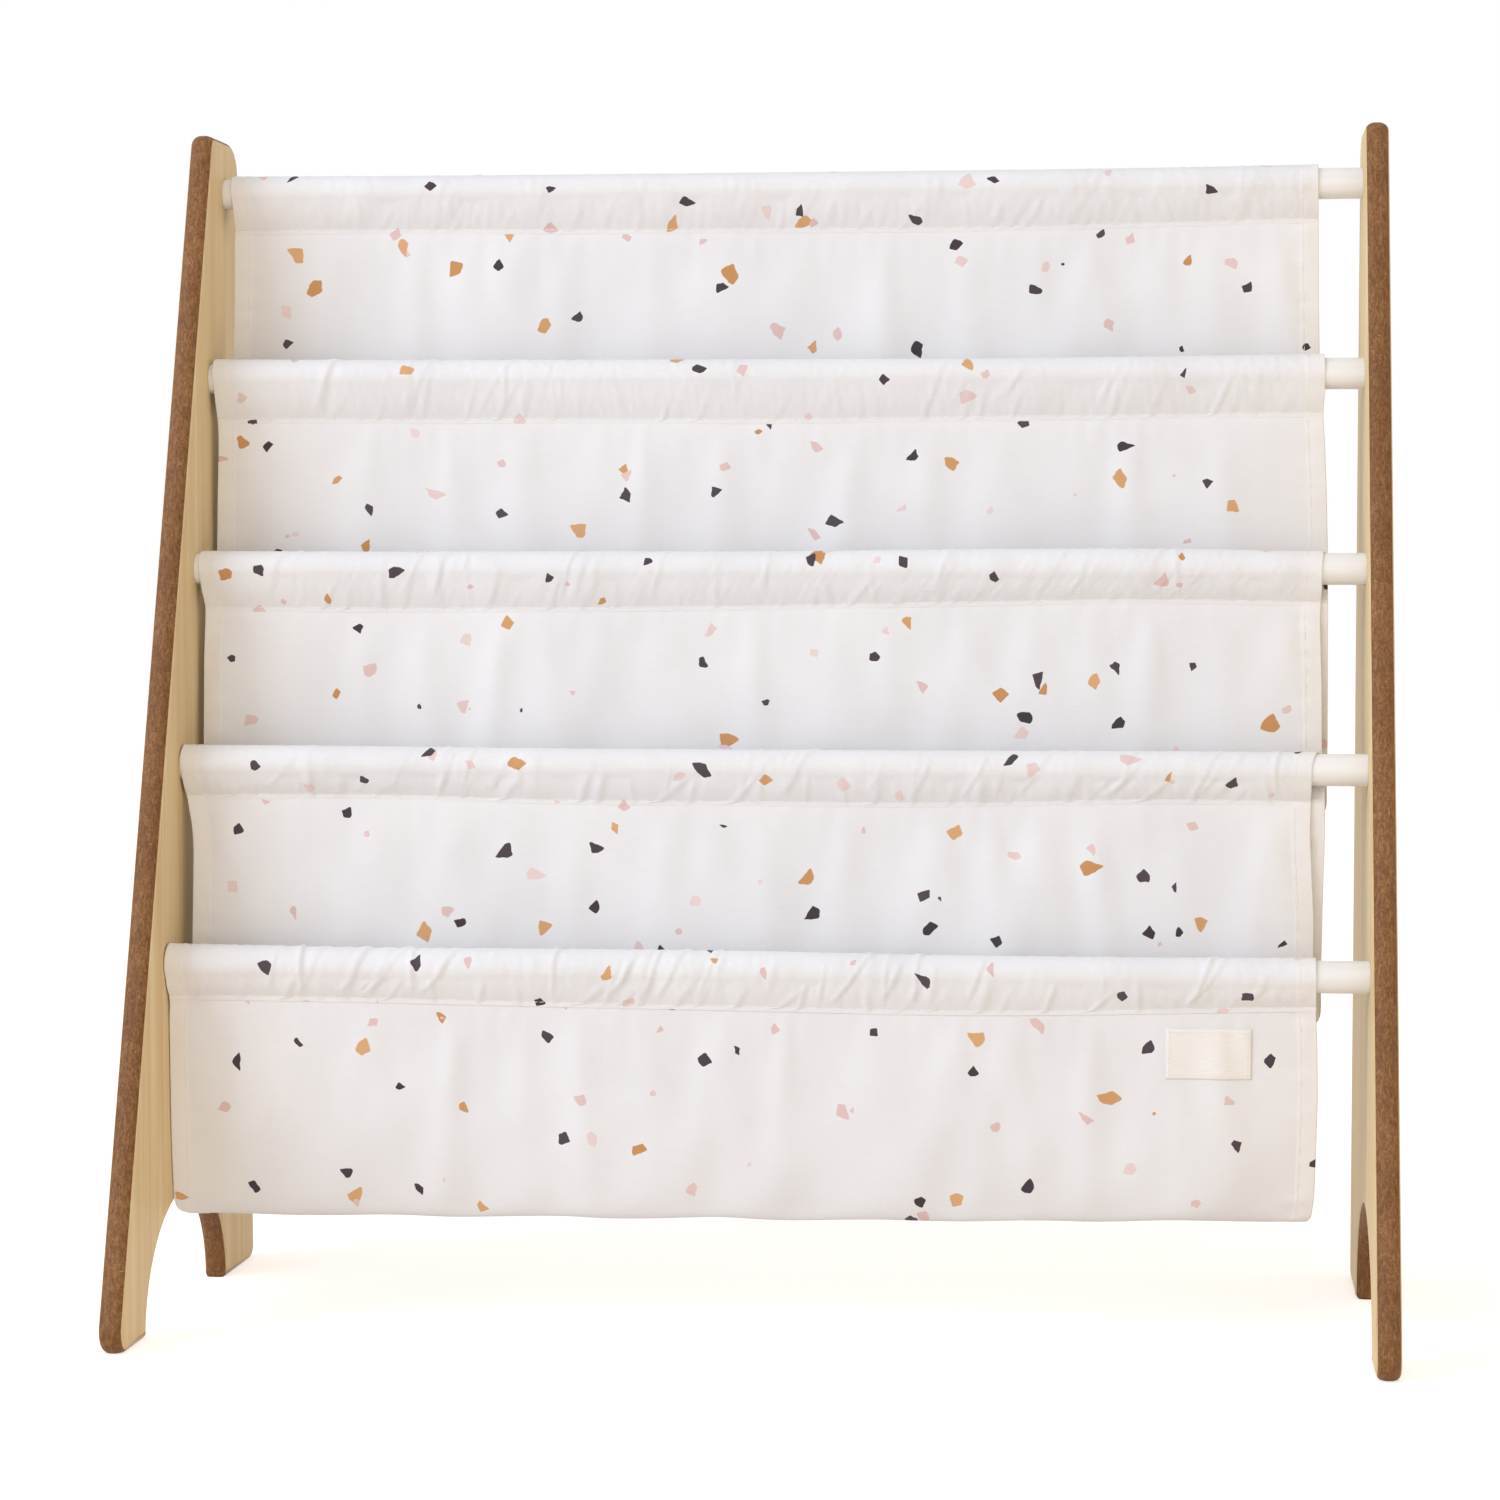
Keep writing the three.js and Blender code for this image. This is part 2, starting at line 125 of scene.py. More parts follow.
# Cloth
CLOTH_THICKNESS = 0.5
CLOTH_WIDTH = 573
CLOTH_START = -296
SEAM_DROP = 19.5
SEAM_BAND = 2.6
SEAM_HALF = 0.8
POCKET_DROP = 124.5
POCKET_TUCKED = 0.4
LAYER_OFFSET = 0.9
SEWN_OFFSET = 0.45
HEM_WIDTH = 9.3
HEM_STITCH = 7.9
HEM_EXTRA = 0.45
LEFT_LIMIT = 298.7
RIGHT_LIMIT = 281.7
SLEEVE_COLUMN_STEP = 0.9
POCKET_COLUMN_STEP = 2.4
POCKET_ROW_STEP = 3.2
POCKET_FINE_STEP = 0.9
POCKET_FINE_REACH = 18
LIP_SHARE = 0.4
STITCH_PITCH = 3.0
STITCH_LENGTH = 2.6
THREAD_WIDTH = 0.4

# Blurs of the lines through knots, ripples in a set of waves, and how far the fold and the seams pull on the cloth
EDGE_BLUR = 3
KNOT_BLUR = 36
FOLD_BLUR = 30
BLUR_STEPS = 9
RIPPLE_COUNT = 9
FOLD_REACH = 12
FOLD_SPREAD = 48
SEAM_REACH = 34
PINCH_REACH = 3.5

# Seeds of the cloth's random draws. The level is added to each but the last.
CREASE_SEED = 40
SWAY_SEED = 45
FINE_SEED = 60
GATHER_SEED = 200
LAZY_SEED = 220
FAN_SEED = 240
FOLD_SEED = 300
HEM_SEED = 700
SLEEVE_STITCH_SEED = 11
HEM_STITCH_SEED = 31
LABEL_STITCH_SEED = 57

# How the sling hangs, level by level from the top. The edges have (depth below the rail's middle, place across) knots,
# and SEAM_DROPS, LOOSENESS and FOLD_LIFT have a value for each of KNOT_PLACES.
LEFT_EDGE = (
    ((-9, -295.0), (8, -293.6), (18, -293.7), (27, -294.2), (86, -295.0)),
    ((-9, -297.2), (8, -296.2), (20, -295.9), (30, -295.4), (56, -296.0), (87, -296.4)),
    ((-9, -297.1), (7, -296.2), (19, -294.8), (27, -294.8), (46, -295.7), (84, -295.5)),
    ((-9, -298.4), (0, -298.6), (14, -297.3), (24, -295.4), (33, -294.0), (42, -293.5), (90, -293.8)),
    ((-9, -298.4), (0, -298.6), (13, -298.6), (18, -297.9), (28, -298.5), (96, -298.6)),
)
RIGHT_EDGE = (
    ((-9, 276.2), (24, 276.8), (60, 277.1), (87, 277.6)),
    ((-9, 279.1), (8, 279.3), (21, 278.5), (35, 279.5), (61, 280.6), (90, 281.3)),
    ((-9, 277.3), (15, 277.0), (25, 276.5), (41, 277.0), (59, 277.6), (91, 277.8)),
    ((-9, 271.7), (21, 271.3), (32, 271.1), (58, 272.3), (72, 273.0), (94, 273.0)),
    ((-9, 273.1), (20, 273.5), (35, 274.2), (60, 274.6), (85, 274.0), (110, 273.3), (118, 272.2)),
)
RIGHT_BEHIND = (
    RIGHT_EDGE[0],
    ((-9, 278.4), (90, 277.5)),
    ((-9, 279.6), (0, 280.3), (90, 280.8), (120, 280.2)),
    ((-9, 278.2), (0, 278.9), (9, 278.3), (40, 278.3), (65, 277.6), (90, 277.3), (119, 276.6)),
    RIGHT_EDGE[4],
)
KNOT_PLACES = (-290, -200, -100, 0, 100, 200, 270)
SEAM_DROPS = (
    (20.5, 20.8, 21.7, 22.0, 22.4, 20.7, 19.0),
    (22.1, 22.8, 22.8, 23.6, 22.5, 21.8, 20.9),
    (20.8, 21.7, 21.1, 19.9, 17.8, 16.1, 17.7),
    (16.9, 15.8, 18.7, 18.6, 18.9, 15.8, 16.8),
    (16.5, 16.7, 18.0, 18.8, 20.1, 17.9, 15.7),
)
LOOSENESS = (
    (1.2, 0.2, 0.0, 0.0, 0.0, 0.6, 1.8),
    (2.5, 1.2, 0.8, 0.3, 0.0, 0.9, 2.3),
    (0.8, 0.4, 0.6, 0.4, 2.2, 2.7, 0.4),
    (1.7, 1.5, 0.2, 0.2, 0.2, 0.6, 0.5),
    (3.0, 1.4, 2.0, 2.0, 0.1, 0.1, 1.2),
)
LOOSE_SHARE = 0.7
FOLD_LIFT = (
    (0.5, -0.8, 0.6, 1.0, -0.6, 0.2, 0.4),
    (-0.4, 0.9, 0.2, -0.8, 0.7, 0.3, -0.5),
    (0.4, -0.5, 0.8, 0.2, -0.4, -1.6, -3.6),
    (-3.6, -3.0, -2.2, -1.4, -0.6, 0.9, 2.4),
)
FOLD_HEIGHT = 2.7
DRAPE_HEIGHT = 1.1
DRAPE_GROWTH = 45
DRAPE_WAVES = (150, 70.5)
BAG_HEIGHT = 0.75
SWAY_HEIGHT = 0.35
FINE_HEIGHT = 0.07
TUCK_HEIGHT = (0.4, 0.5, 0.6, 0.85, 1.0)

# Where each sleeve is gathered over its rail: (place, spread, creases, height)
GATHERS = (
    ((-190, 20, 5, 0.35), (20, 110, 8, 0.25), (220, 30, 4, 0.25)),
    ((-210, 30, 7, 0.45), (-60, 90, 7, 0.3), (190, 60, 7, 0.35)),
    ((-215, 45, 9, 0.45), (-40, 90, 8, 0.35), (150, 60, 9, 0.4)),
    ((-190, 60, 12, 0.6), (60, 80, 13, 0.55), (215, 30, 6, 0.5)),
    ((-205, 24, 10, 0.8), (-60, 30, 9, 0.75), (50, 32, 10, 0.7), (200, 50, 6, 0.6)),
)

# Blank woven label
LABEL_THICKNESS = 0.4
LABEL_GAP = 0.1
LABEL_STITCH_INSET = 2
LABEL_STITCH_PITCH = 2.0
LABEL_STITCH_LENGTH = 1.7


def linear(code):
    """An sRGB hex colour as linear RGBA."""
    channels = [int(code[place : place + 2], 16) / 255 for place in (1, 3, 5)]
    return tuple(c / 12.92 if c <= 0.04045 else ((c + 0.055) / 1.055) ** 2.4 for c in channels) + (1.0,)


def plug(tree, node, inputs):
    """Fills a node's sockets, by name or place, with values or with links from other nodes' outputs."""
    for place, value in inputs.items():
        if isinstance(value, bpy.types.NodeSocket):
            tree.links.new(value, node.inputs[place])
        else:
            node.inputs[place].default_value = value


def add(tree, kind, inputs=None, **settings):
    """Adds a node with its settings and its sockets filled."""
    node = tree.nodes.new(kind)
    for name, value in settings.items():
        setattr(node, name, value)
    plug(tree, node, inputs or {})
    return node


def out(tree, kind, inputs=None, **settings):
    """Adds a node and gives its first output."""
    return add(tree, kind, inputs, **settings).outputs[0]


def calc(tree, operation, *values):
    """Arithmetic on values or outputs."""
    return out(tree, "ShaderNodeMath", dict(enumerate(values)), operation=operation)


def vector_calc(tree, operation, first, second):
    """Arithmetic on two vectors."""
    return out(tree, "ShaderNodeVectorMath", {0: first, 1: second}, operation=operation)


def noise(tree, place, size, detail, **more):
    """Noise with spots of a size in metres, or of three sizes along the axes."""
    scale = 1
    if isinstance(size, tuple):
        place = out(tree, "ShaderNodeMapping", {"Vector": place, "Scale": tuple(1 / length for length in size)})
    else:
        scale = 1 / size
    return out(tree, "ShaderNodeTexNoise", {"Vector": place, "Scale": scale, "Detail": detail, **more})


def ridges(tree, place, pitch, direction, **more):
    """Even ridges, a pitch in metres apart."""
    inputs = {"Vector": place, "Scale": 2 * math.pi / 20 / pitch, **more}
    return add(tree, "ShaderNodeTexWave", inputs, bands_direction=direction).outputs["Fac"]


def fitted(tree, value, goal, source=(0, 1)):
    """A value taken from a source range to a goal range."""
    inputs = {"Value": value, "From Min": source[0], "From Max": source[1], "To Min": goal[0], "To Max": goal[1]}
    return out(tree, "ShaderNodeMapRange", inputs)


def tones(tree, share, *stops):
    """A colour ramp of (place, hex colour) stops."""
    node = add(tree, "ShaderNodeValToRGB", {"Fac": share})
    elements = node.color_ramp.elements
    while len(elements) < len(stops):
        elements.new(1)
    for element, (place, code) in zip(elements, stops):
        element.position = place
        element.color = linear(code)
    return node.outputs[0]


def blend(tree, share, first, second):
    """A share of the second colour over the first."""
    return add(tree, "ShaderNodeMix", {"Factor": share, 6: first, 7: second}, data_type="RGBA").outputs[2]


def surface(name, on_cloth=False):
    """A new material, its node tree, and the place that its pattern follows: on the object, or on the flat cloth."""
    material = bpy.data.materials.new(name)
    material.use_nodes = True
    tree = material.node_tree
    if on_cloth:
        return material, tree, add(tree, "ShaderNodeAttribute", attribute_name="flat").outputs["Vector"]
    return material, tree, add(tree, "ShaderNodeTexCoord").outputs["Object"]


def shaded(material, colour, roughness, height, strength, distance, extra=None):
    """Fills the material's shader. The relief comes from height, with a strength and a distance in metres."""
    tree = material.node_tree
    relief = out(tree, "ShaderNodeBump", {"Height": height, "Strength": strength, "Distance": distance})
    inputs = {"Base Color": colour, "Roughness": roughness, "Normal": relief, **(extra or {})}
    plug(tree, tree.nodes["Principled BSDF"], inputs)
    return material


def linked(name, data):
    """A new object in the scene."""
    made = bpy.data.objects.new(name, data)
    bpy.context.scene.collection.objects.link(made)
    return made


# Materials


def chip_layer():
    """A node group that scatters printed chips of one colour.

    Each is a small polygon with its own size, sides and softened corners.
    """
    tree = bpy.data.node_groups.new("chips_of_one_colour", "ShaderNodeTree")
    for label, kind in (("Cloth", "Vector"), ("Shift", "Vector"), ("Spacing", "Float"), ("Reach", "Float")):
        tree.interface.new_socket(label, in_out="INPUT", socket_type=f"NodeSocket{kind}")
    for label in ("Printed", "Lot"):
        tree.interface.new_socket(label, in_out="OUTPUT", socket_type="NodeSocketFloat")
    given = add(tree, "NodeGroupInput").outputs
    moved = vector_calc(tree, "ADD", given["Cloth"], given["Shift"])
    bend = add(tree, "ShaderNodeTexNoise", {"Vector": moved, "Scale": 1 / CHIP_BEND_LENGTH, "Detail": 1})
    centred = vector_calc(tree, "SUBTRACT", bend.outputs["Color"], (0.5, 0.5, 0.5))
    offset = out(tree, "ShaderNodeVectorMath", {0: centred, "Scale": 2 * CHIP_BEND}, operation="SCALE")
    density = calc(tree, "DIVIDE", 1.0, given["Spacing"])
    cell = add(tree, "ShaderNodeTexVoronoi", {"Vector": moved, "Scale": density}, voronoi_dimensions="2D").outputs
    local = vector_calc(tree, "ADD", vector_calc(tree, "SUBTRACT", moved, cell["Position"]), offset)
    lot = add(tree, "ShaderNodeSeparateColor", {"Color": cell["Color"]}).outputs
    # The root makes most chips large and a few of them specks
    size = fitted(tree, calc(tree, "POWER", lot["Red"], 0.5), (CHIP_SPECK, given["Reach"]))
    reach = None
    for side in range(CHIP_SIDES):
        inputs = {"Vector": cell["Color"], "W": side + 0.5}
        chance = add(tree, "ShaderNodeTexWhiteNoise", inputs, noise_dimensions="4D").outputs["Color"]
        draws = add(tree, "ShaderNodeSeparateColor", {"Color": chance}).outputs
        angle = calc(tree, "MULTIPLY_ADD", draws["Red"], CHIP_TURN, 2 * math.pi * side / CHIP_SIDES)
        facing = out(tree, "ShaderNodeVectorRotate", {"Vector": local, "Angle": angle}, rotation_type="Z_AXIS")
        outward = out(tree, "ShaderNodeSeparateXYZ", {"Vector": facing})
        bound = calc(tree, "MULTIPLY", size, fitted(tree, draws["Green"], CHIP_STRETCH))
        part = calc(tree, "DIVIDE", outward, bound)
        reach = part if reach is None else calc(tree, "SMOOTH_MAX", reach, part, CHIP_SOFTNESS)
    inside = fitted(tree, reach, (1, 0), (1, 1.07))
    kept = calc(tree, "LESS_THAN", lot["Blue"], CHIP_SHARE)
    add(tree, "NodeGroupOutput", {"Printed": calc(tree, "MULTIPLY", inside, kept), "Lot": lot["Green"]})
    return tree


def printed_canvas():
    """Woven polyester canvas with a printed terrazzo pattern: matt, off-white, with sparse crisp chips."""
    material, tree, flat = surface("printed_polyester_canvas", on_cloth=True)
    # Slubs of one thread 12 mm long, over soft clouds of 60 mm
    slubs = noise(tree, flat, (0.012, 0.0009, 1), 2)
    clouds = noise(tree, flat, 0.06, 2)
    colour = tones(tree, calc(tree, "MULTIPLY_ADD", slubs, 0.35, clouds), (0.45, "#ECECEE"), (0.9, "#F1F2F4"))
    # The hem is three layers thick, so it shows as an evenly pale strip
    across = out(tree, "ShaderNodeSeparateXYZ", {"Vector": flat})
    off_middle = calc(tree, "ABSOLUTE", calc(tree, "SUBTRACT", across, CLOTH_WIDTH * MM / 2))
    hem_start = (CLOTH_WIDTH / 2 - HEM_WIDTH) * MM
    hem = fitted(tree, off_middle, (0, 1), (hem_start - 0.0006, hem_start + 0.0008))
    colour = blend(tree, hem, colour, linear("#F2F2F2"))
    layer = chip_layer()
    for spacing, reach, shift, dark, pale in CHIP_COLOURS:
        inputs = {"Cloth": flat, "Shift": shift, "Spacing": spacing, "Reach": reach}
        chips = add(tree, "ShaderNodeGroup", inputs, node_tree=layer).outputs
        ink = tones(tree, chips["Lot"], (0.2, dark), (0.8, pale))
        colour = blend(tree, chips["Printed"], colour, ink)
    # The real thread pitch of 0.35 mm is too fine to show, so the weave is drawn at 1.1 mm
    crossing = calc(tree, "MULTIPLY", ridges(tree, flat, 0.0011, "X"), ridges(tree, flat, 0.0011, "Y"))
    relief = calc(tree, "MULTIPLY_ADD", slubs, 0.8, crossing)
    soft = {"Specular IOR Level": 0.3, "Sheen Weight": 0.08, "Sheen Roughness": 0.5}
    return shaded(material, colour, 0.86, relief, 0.2, 0.0001, soft)


def sanded_fibreboard():
    """MDF with its edge rounded over, sanded and oiled: speckled brown with a soft shine, and a few pale nicks."""
    material, tree, place = surface("sanded_fibreboard_edge")
    # Felted fibres, streaks that follow the edge, and broad patches
    fibres = noise(tree, place, 0.0012, 2, Roughness=0.6)
    streaks = noise(tree, place, (0.0013, 0.0022, 0.0052), 3, Roughness=0.62, Distortion=0.9)
    patches = noise(tree, place, 0.04, 2)
    mottled = calc(tree, "MULTIPLY_ADD", patches, 0.4, calc(tree, "MULTIPLY_ADD", fibres, 0.5, streaks))
    brown = tones(tree, calc(tree, "DIVIDE", mottled, 1.9),
                  (0.36, "#653E1A"), (0.46, "#774C26"), (0.54, "#895E33"), (0.66, "#A2774B"))
    # Nicks up to 1 mm wide, where the sanded skin is broken
    nick = noise(tree, place, 0.0026, 2, Roughness=0.4, Distortion=1.2)
    colour = blend(tree, fitted(tree, nick, (0, 0.6), (0.72, 0.8)), brown, linear("#D0A987"))
    return shaded(material, colour, 0.55, mottled, 0.5, 0.00025, {"Specular IOR Level": 0.35})


def birch_veneer():
    """Rotary-cut birch veneer under matt lacquer: pale honey, with upright grain and short fine pores."""
    material, tree, place = surface("birch_veneer_matt_lacquer")
    # Grain bands 11 mm wide that run up most of the panel, and streaks 1.6 mm wide
    bands = noise(tree, place, (1, 0.011, 0.42), 3, Distortion=0.5)
    streaks = noise(tree, place, (1, 0.0016, 0.11), 3, Roughness=0.6)
    grain = calc(tree, "MULTIPLY_ADD", streaks, 0.45, bands)
    wood = tones(tree, calc(tree, "DIVIDE", grain, 1.45),
                 (0.32, "#D8B680"), (0.47, "#E2C48D"), (0.57, "#E9CE9A"), (0.7, "#EFD9AE"))
    # Pores 0.6 mm wide and 8 mm long
    pores = noise(tree, place, (1, 0.0006, 0.008), 1)
    colour = blend(tree, fitted(tree, pores, (0, 0.35), (0.66, 0.78)), wood, linear("#B08A5C"))
    return shaded(material, colour, fitted(tree, bands, (0.46, 0.58)), grain, 0.25, 0.0001)


def white_paint():
    """Turned wooden dowel, sprayed white: smooth satin, with a trace of the grain and of orange peel."""
    material, tree, place = surface("white_painted_dowel")
    grain = noise(tree, place, (0.09, 0.0016, 0.0016), 2)
    peel = noise(tree, place, 0.0025, 1)
    white = tones(tree, grain, (0.35, "#F1F2F3"), (0.65, "#F5F6F7"))
    height = calc(tree, "MULTIPLY_ADD", peel, 0.5, grain)
    return shaded(material, white, fitted(tree, peel, (0.3, 0.42)), height, 0.2, 0.00008)


def plated_metal(name, dark, pale, roughness):
    """Turned metal with fine tool marks, and blotches that make it duller here and there."""
    material, tree, place = surface(name)
    # Tool marks are 0.05 mm apart in the real one, and are drawn at 0.4 mm
    marks = noise(tree, place, 0.0004, 2)
    blotches = noise(tree, place, 0.003, 2)
    colour = tones(tree, blotches, (0.35, dark), (0.7, pale))
    gloss = fitted(tree, blotches, (roughness - 0.06, roughness + 0.1))
    return shaded(material, colour, gloss, marks, 0.3, 0.00003, {"Metallic": 1.0})


def sewing_thread():
    """Three-ply polyester thread: cream, with a soft sheen, the slant of its twist, and painted shade that darkens the
    grooves between its plies.
    """
    material, tree, place = surface("polyester_sewing_thread")
    slanted = out(tree, "ShaderNodeMapping", {"Vector": place, "Rotation": (0, 0.6, 0)})
    # The plies lie 0.5 mm apart along the thread
    twist_and_groove_shade = ridges(tree, slanted, 0.0005, "X")
    # Painted shade: the cream follows the twist's relief and is darker where the relief is low, in the grooves between
    # the plies
    cream = tones(tree, twist_and_groove_shade, (0, "#EFE4D6"), (1, "#FAF3E9"))
    return shaded(material, cream, 0.6, twist_and_groove_shade, 0.4, 0.00008, {"Sheen Weight": 0.15})


def woven_label():
    """Damask-woven satin label: dense, cream, faintly ribbed across, with a slight sheen."""
    material, tree, flat = surface("damask_woven_label", on_cloth=True)
    # The real weft pitch of 0.2 mm is too fine to show, so the ribs are drawn at 0.7 mm
    ribs = ridges(tree, flat, 0.0007, "Y", Distortion=0.4)
    slubs = noise(tree, flat, (0.006, 0.0005, 1), 2)
    cream = tones(tree, slubs, (0.3, "#F2EFEA"), (0.7, "#F8F6F2"))
    return shaded(material, cream, 0.7, ribs, 0.3, 0.0001, {"Sheen Weight": 0.1})


CANVAS = printed_canvas()
FIBREBOARD = sanded_fibreboard()
VENEER = birch_veneer()
PAINT = white_paint()
ZINC = plated_metal("zinc_plated_steel", "#B4B7BA", "#D3D5D6", 0.3)
BRASS = plated_metal("turned_brass", "#A98743", "#C9A65C", 0.34)
THREAD = sewing_thread()
LABEL = woven_label()


def piece(name, mesh, material, body):
    """A finished piece at the origin, on its body, with its material."""
    made = linked(name, mesh)
    if not mesh.materials:
        mesh.materials.append(material)
    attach(made, body)
    return made


# Side panels


def rail_centre(number):
    """Middle of a rail as (y, z). Rail 0 is the top one."""
    low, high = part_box(f"rail_{number + 1}")
    return (low.y + high.y) / 2 / MM, (low.z + high.z) / 2 / MM


RAILS = [rail_centre(number) for number in range(RAIL_COUNT)]


def rounded_corner(before, corner, after, radius):
    """Points of a rounded corner between two straight edges of an outline."""
    back = (before - corner) / np.linalg.norm(before - corner)
    ahead = (after - corner) / np.linalg.norm(after - corner)
    half = math.acos(float(back @ ahead)) / 2
    middle = (back + ahead) / np.linalg.norm(back + ahead)
    centre = corner + middle * radius / math.sin(half)
    start = corner + back * radius / math.tan(half) - centre
    end = corner + ahead * radius / math.tan(half) - centre
    turn = math.atan2(start[0] * end[1] - start[1] * end[0], float(start @ end))
    points = []
    for step in range(CORNER_STEPS + 1):
        angle = turn * step / CORNER_STEPS
        points.append(centre + (start[0] * math.cos(angle) - start[1] * math.sin(angle),
                                start[0] * math.sin(angle) + start[1] * math.cos(angle)))
    return points


def panel_outline():
    """Outline of a side panel as (y, z), counter-clockwise: the arch, the heel, the top and the toe."""
    toe_rounding = TOE_RADIUS * (math.tan(FRONT_LEAN) + 1 / math.cos(FRONT_LEAN) - 1)
    toe = np.array((-DEPTH / 2 - toe_rounding, -FOOT_FLAT))
    up_edge = np.array((math.sin(FRONT_LEAN), math.cos(FRONT_LEAN)))
    top_front = toe + up_edge * (HEIGHT - toe[1]) / math.cos(FRONT_LEAN)
    top_rear = np.array((top_front[0] + TOP_LENGTH, HEIGHT))
    heel = np.array((DEPTH / 2, toe[1]))
    arch_start = -DEPTH / 2 + FRONT_FOOT_LENGTH
    arch_rear = np.array((arch_start + ARCH_WIDTH, toe[1]))
    outline = []
    for step in range(ARCH_STEPS + 1):
        angle = math.pi * (1 - step / ARCH_STEPS)
        outline.append(np.array((arch_start + ARCH_WIDTH / 2 * (1 + math.cos(angle)),
                                 toe[1] + (ARCH_HEIGHT - toe[1]) * math.sin(angle))))
    outline += rounded_corner(arch_rear, heel, top_rear, HEEL_RADIUS)
    outline += rounded_corner(heel, top_rear, top_front, TOP_REAR_RADIUS)
    outline += rounded_corner(top_rear, top_front, toe, TOP_FRONT_RADIUS)
    outline += rounded_corner(top_front, toe, arch_rear, TOE_RADIUS)
    return np.array(outline)


def drawn_in(outline, inset):
    """The outline moved inwards by inset, mitred at its corners and cut off at the floor."""
    before = outline - np.roll(outline, 1, axis=0)
    after = np.roll(outline, -1, axis=0) - outline
    normals = []
    for edges in (before, after):
        ways = edges / np.linalg.norm(edges, axis=1)[:, None]
        normals.append(np.stack((-ways[:, 1], ways[:, 0]), axis=1))
    middle = normals[0] + normals[1]
    middle /= np.sum(middle * normals[0], axis=1)[:, None]
    moved = outline + middle * inset
    moved[:, 1] = np.maximum(moved[:, 1], 0)
    return moved


def crown_inset(offset):
    """How far the crowned edge is drawn in at a distance from the panel's middle plane."""
    past = max(0.0, abs(offset) - EDGE_LAND / 2) / (PANEL_THICKNESS / 2 - EDGE_LAND / 2)
    return EDGE_CROWN * (1 - math.sqrt(max(0.0, 1 - past * past)))


def ring_of(sheet, side, x, points):
    """A closed ring of vertices in the plane at side times x."""
    return [sheet.verts.new((side * x * MM, y * MM, z * MM)) for y, z in points]


def circle(centre, radius, facets):
    """Points of a circle as (y, z)."""
    angles = [2 * math.pi * facet / facets for facet in range(facets)]
    return [(centre[0] + radius * math.cos(angle), centre[1] + radius * math.sin(angle)) for angle in angles]


def bridge(sheet, rings):
    """Bands of smooth quads from each ring to the next, all of the same length."""
    for first, second in zip(rings, rings[1:]):
        for place in range(len(first)):
            beside = (place + 1) % len(first)
            sheet.faces.new((first[place], first[beside], second[beside], second[place])).smooth = True


def fill_between(sheet, rings):
    """Fills the flat area that closed rings bound, with sharp edges round it."""
    edges = [sheet.edges.get(ends) for ring in rings for ends in zip(ring, ring[1:] + ring[:1])]
    filled = bmesh.ops.triangle_fill(sheet, edges=edges, use_beauty=True)["geom"]
    for part in edges + [part for part in filled if isinstance(part, bmesh.types.BMFace)]:
        part.smooth = False


def finished_mesh(sheet, name, sharp=None):
    """The mesh of a bmesh, turned outwards. Edges that bend by more than sharp degrees are made sharp."""
    bmesh.ops.recalc_face_normals(sheet, faces=sheet.faces)
    for edge in sheet.edges:
        if sharp and len(edge.link_faces) == 2 and edge.calc_face_angle() > math.radians(sharp):
            edge.smooth = False
    mesh = bpy.data.meshes.new(name)
    sheet.to_mesh(mesh)
    sheet.free()
    return mesh


def panel_layer(name, side, offsets, bore):
    """One layer of a panel.

    offsets are the planes of its crowned edge, from the inner face, and bore is (radius, x) pairs of each hole.
    """
    sheet = bmesh.new()
    outline = panel_outline()
    middle = WIDTH / 2 - PANEL_THICKNESS / 2
    stacks = [[ring_of(sheet, side, middle + offset, drawn_in(outline, crown_inset(offset))) for offset in offsets]]
    for centre in RAILS:
        stacks.append([ring_of(sheet, side, x, circle(centre, radius, BORE_FACETS)) for radius, x in bore])
    for stack in stacks:
        bridge(sheet, stack)
    for end in (0, -1):
        fill_between(sheet, [stack[end] for stack in stacks])
    return finished_mesh(sheet, name)


def crown_offsets(start, end):
    """Planes across the crowned edge, closer together where it curves."""
    half_land = EDGE_LAND / 2
    reach = PANEL_THICKNESS / 2 - half_land
    curve = [half_land + reach * math.sin(math.pi / 2 * step / CROWN_STEPS) for step in range(CROWN_STEPS + 1)]
    planes = sorted([-offset for offset in curve] + curve)
    return [start] + [plane for plane in planes if start < plane < end] + [end]


def make_panels():
    inner_x = WIDTH / 2 - PANEL_THICKNESS
    outer_x = WIDTH / 2
    core_half = PANEL_THICKNESS / 2 - VENEER_THICKNESS
    socket = RAIL_RADIUS + FIT_GAP
    head = BOLT_HEAD_RADIUS + FIT_GAP
    shank = BOLT_RADIUS + FIT_GAP
    rim_x = BOLT_TOP - BOLT_HEAD_RIM - FIT_GAP
    core_bore = [(socket, inner_x + VENEER_THICKNESS), (socket, RAIL_END), (shank, RAIL_END),
                 (shank, rim_x - (head - shank)), (head, rim_x), (head, outer_x - VENEER_THICKNESS)]
    inner_bore = [(socket, inner_x), (socket, inner_x + VENEER_THICKNESS)]
    outer_bore = [(head, outer_x - VENEER_THICKNESS), (head, outer_x)]
    half = PANEL_THICKNESS / 2
    layers = [
        ("core", "board", crown_offsets(-core_half, core_half), core_bore, FIBREBOARD, "fibreboard"),
        ("inner_veneer", "inner_face", crown_offsets(-half, -core_half), inner_bore, VENEER, "veneer"),
        ("outer_veneer", "outer_face", crown_offsets(core_half, half), outer_bore, VENEER, "veneer"),
    ]
    for side, label in ((-1, "left"), (1, "right")):
        for node, word, offsets, bore, material, slot in layers:
            name = f"{label}_side_{word}"
            made = piece(name, panel_layer(name, side, offsets, bore), material, "frame")
            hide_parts(f"{label}_panel_{node}")


make_panels()


# Rails, and the bolts that hold them


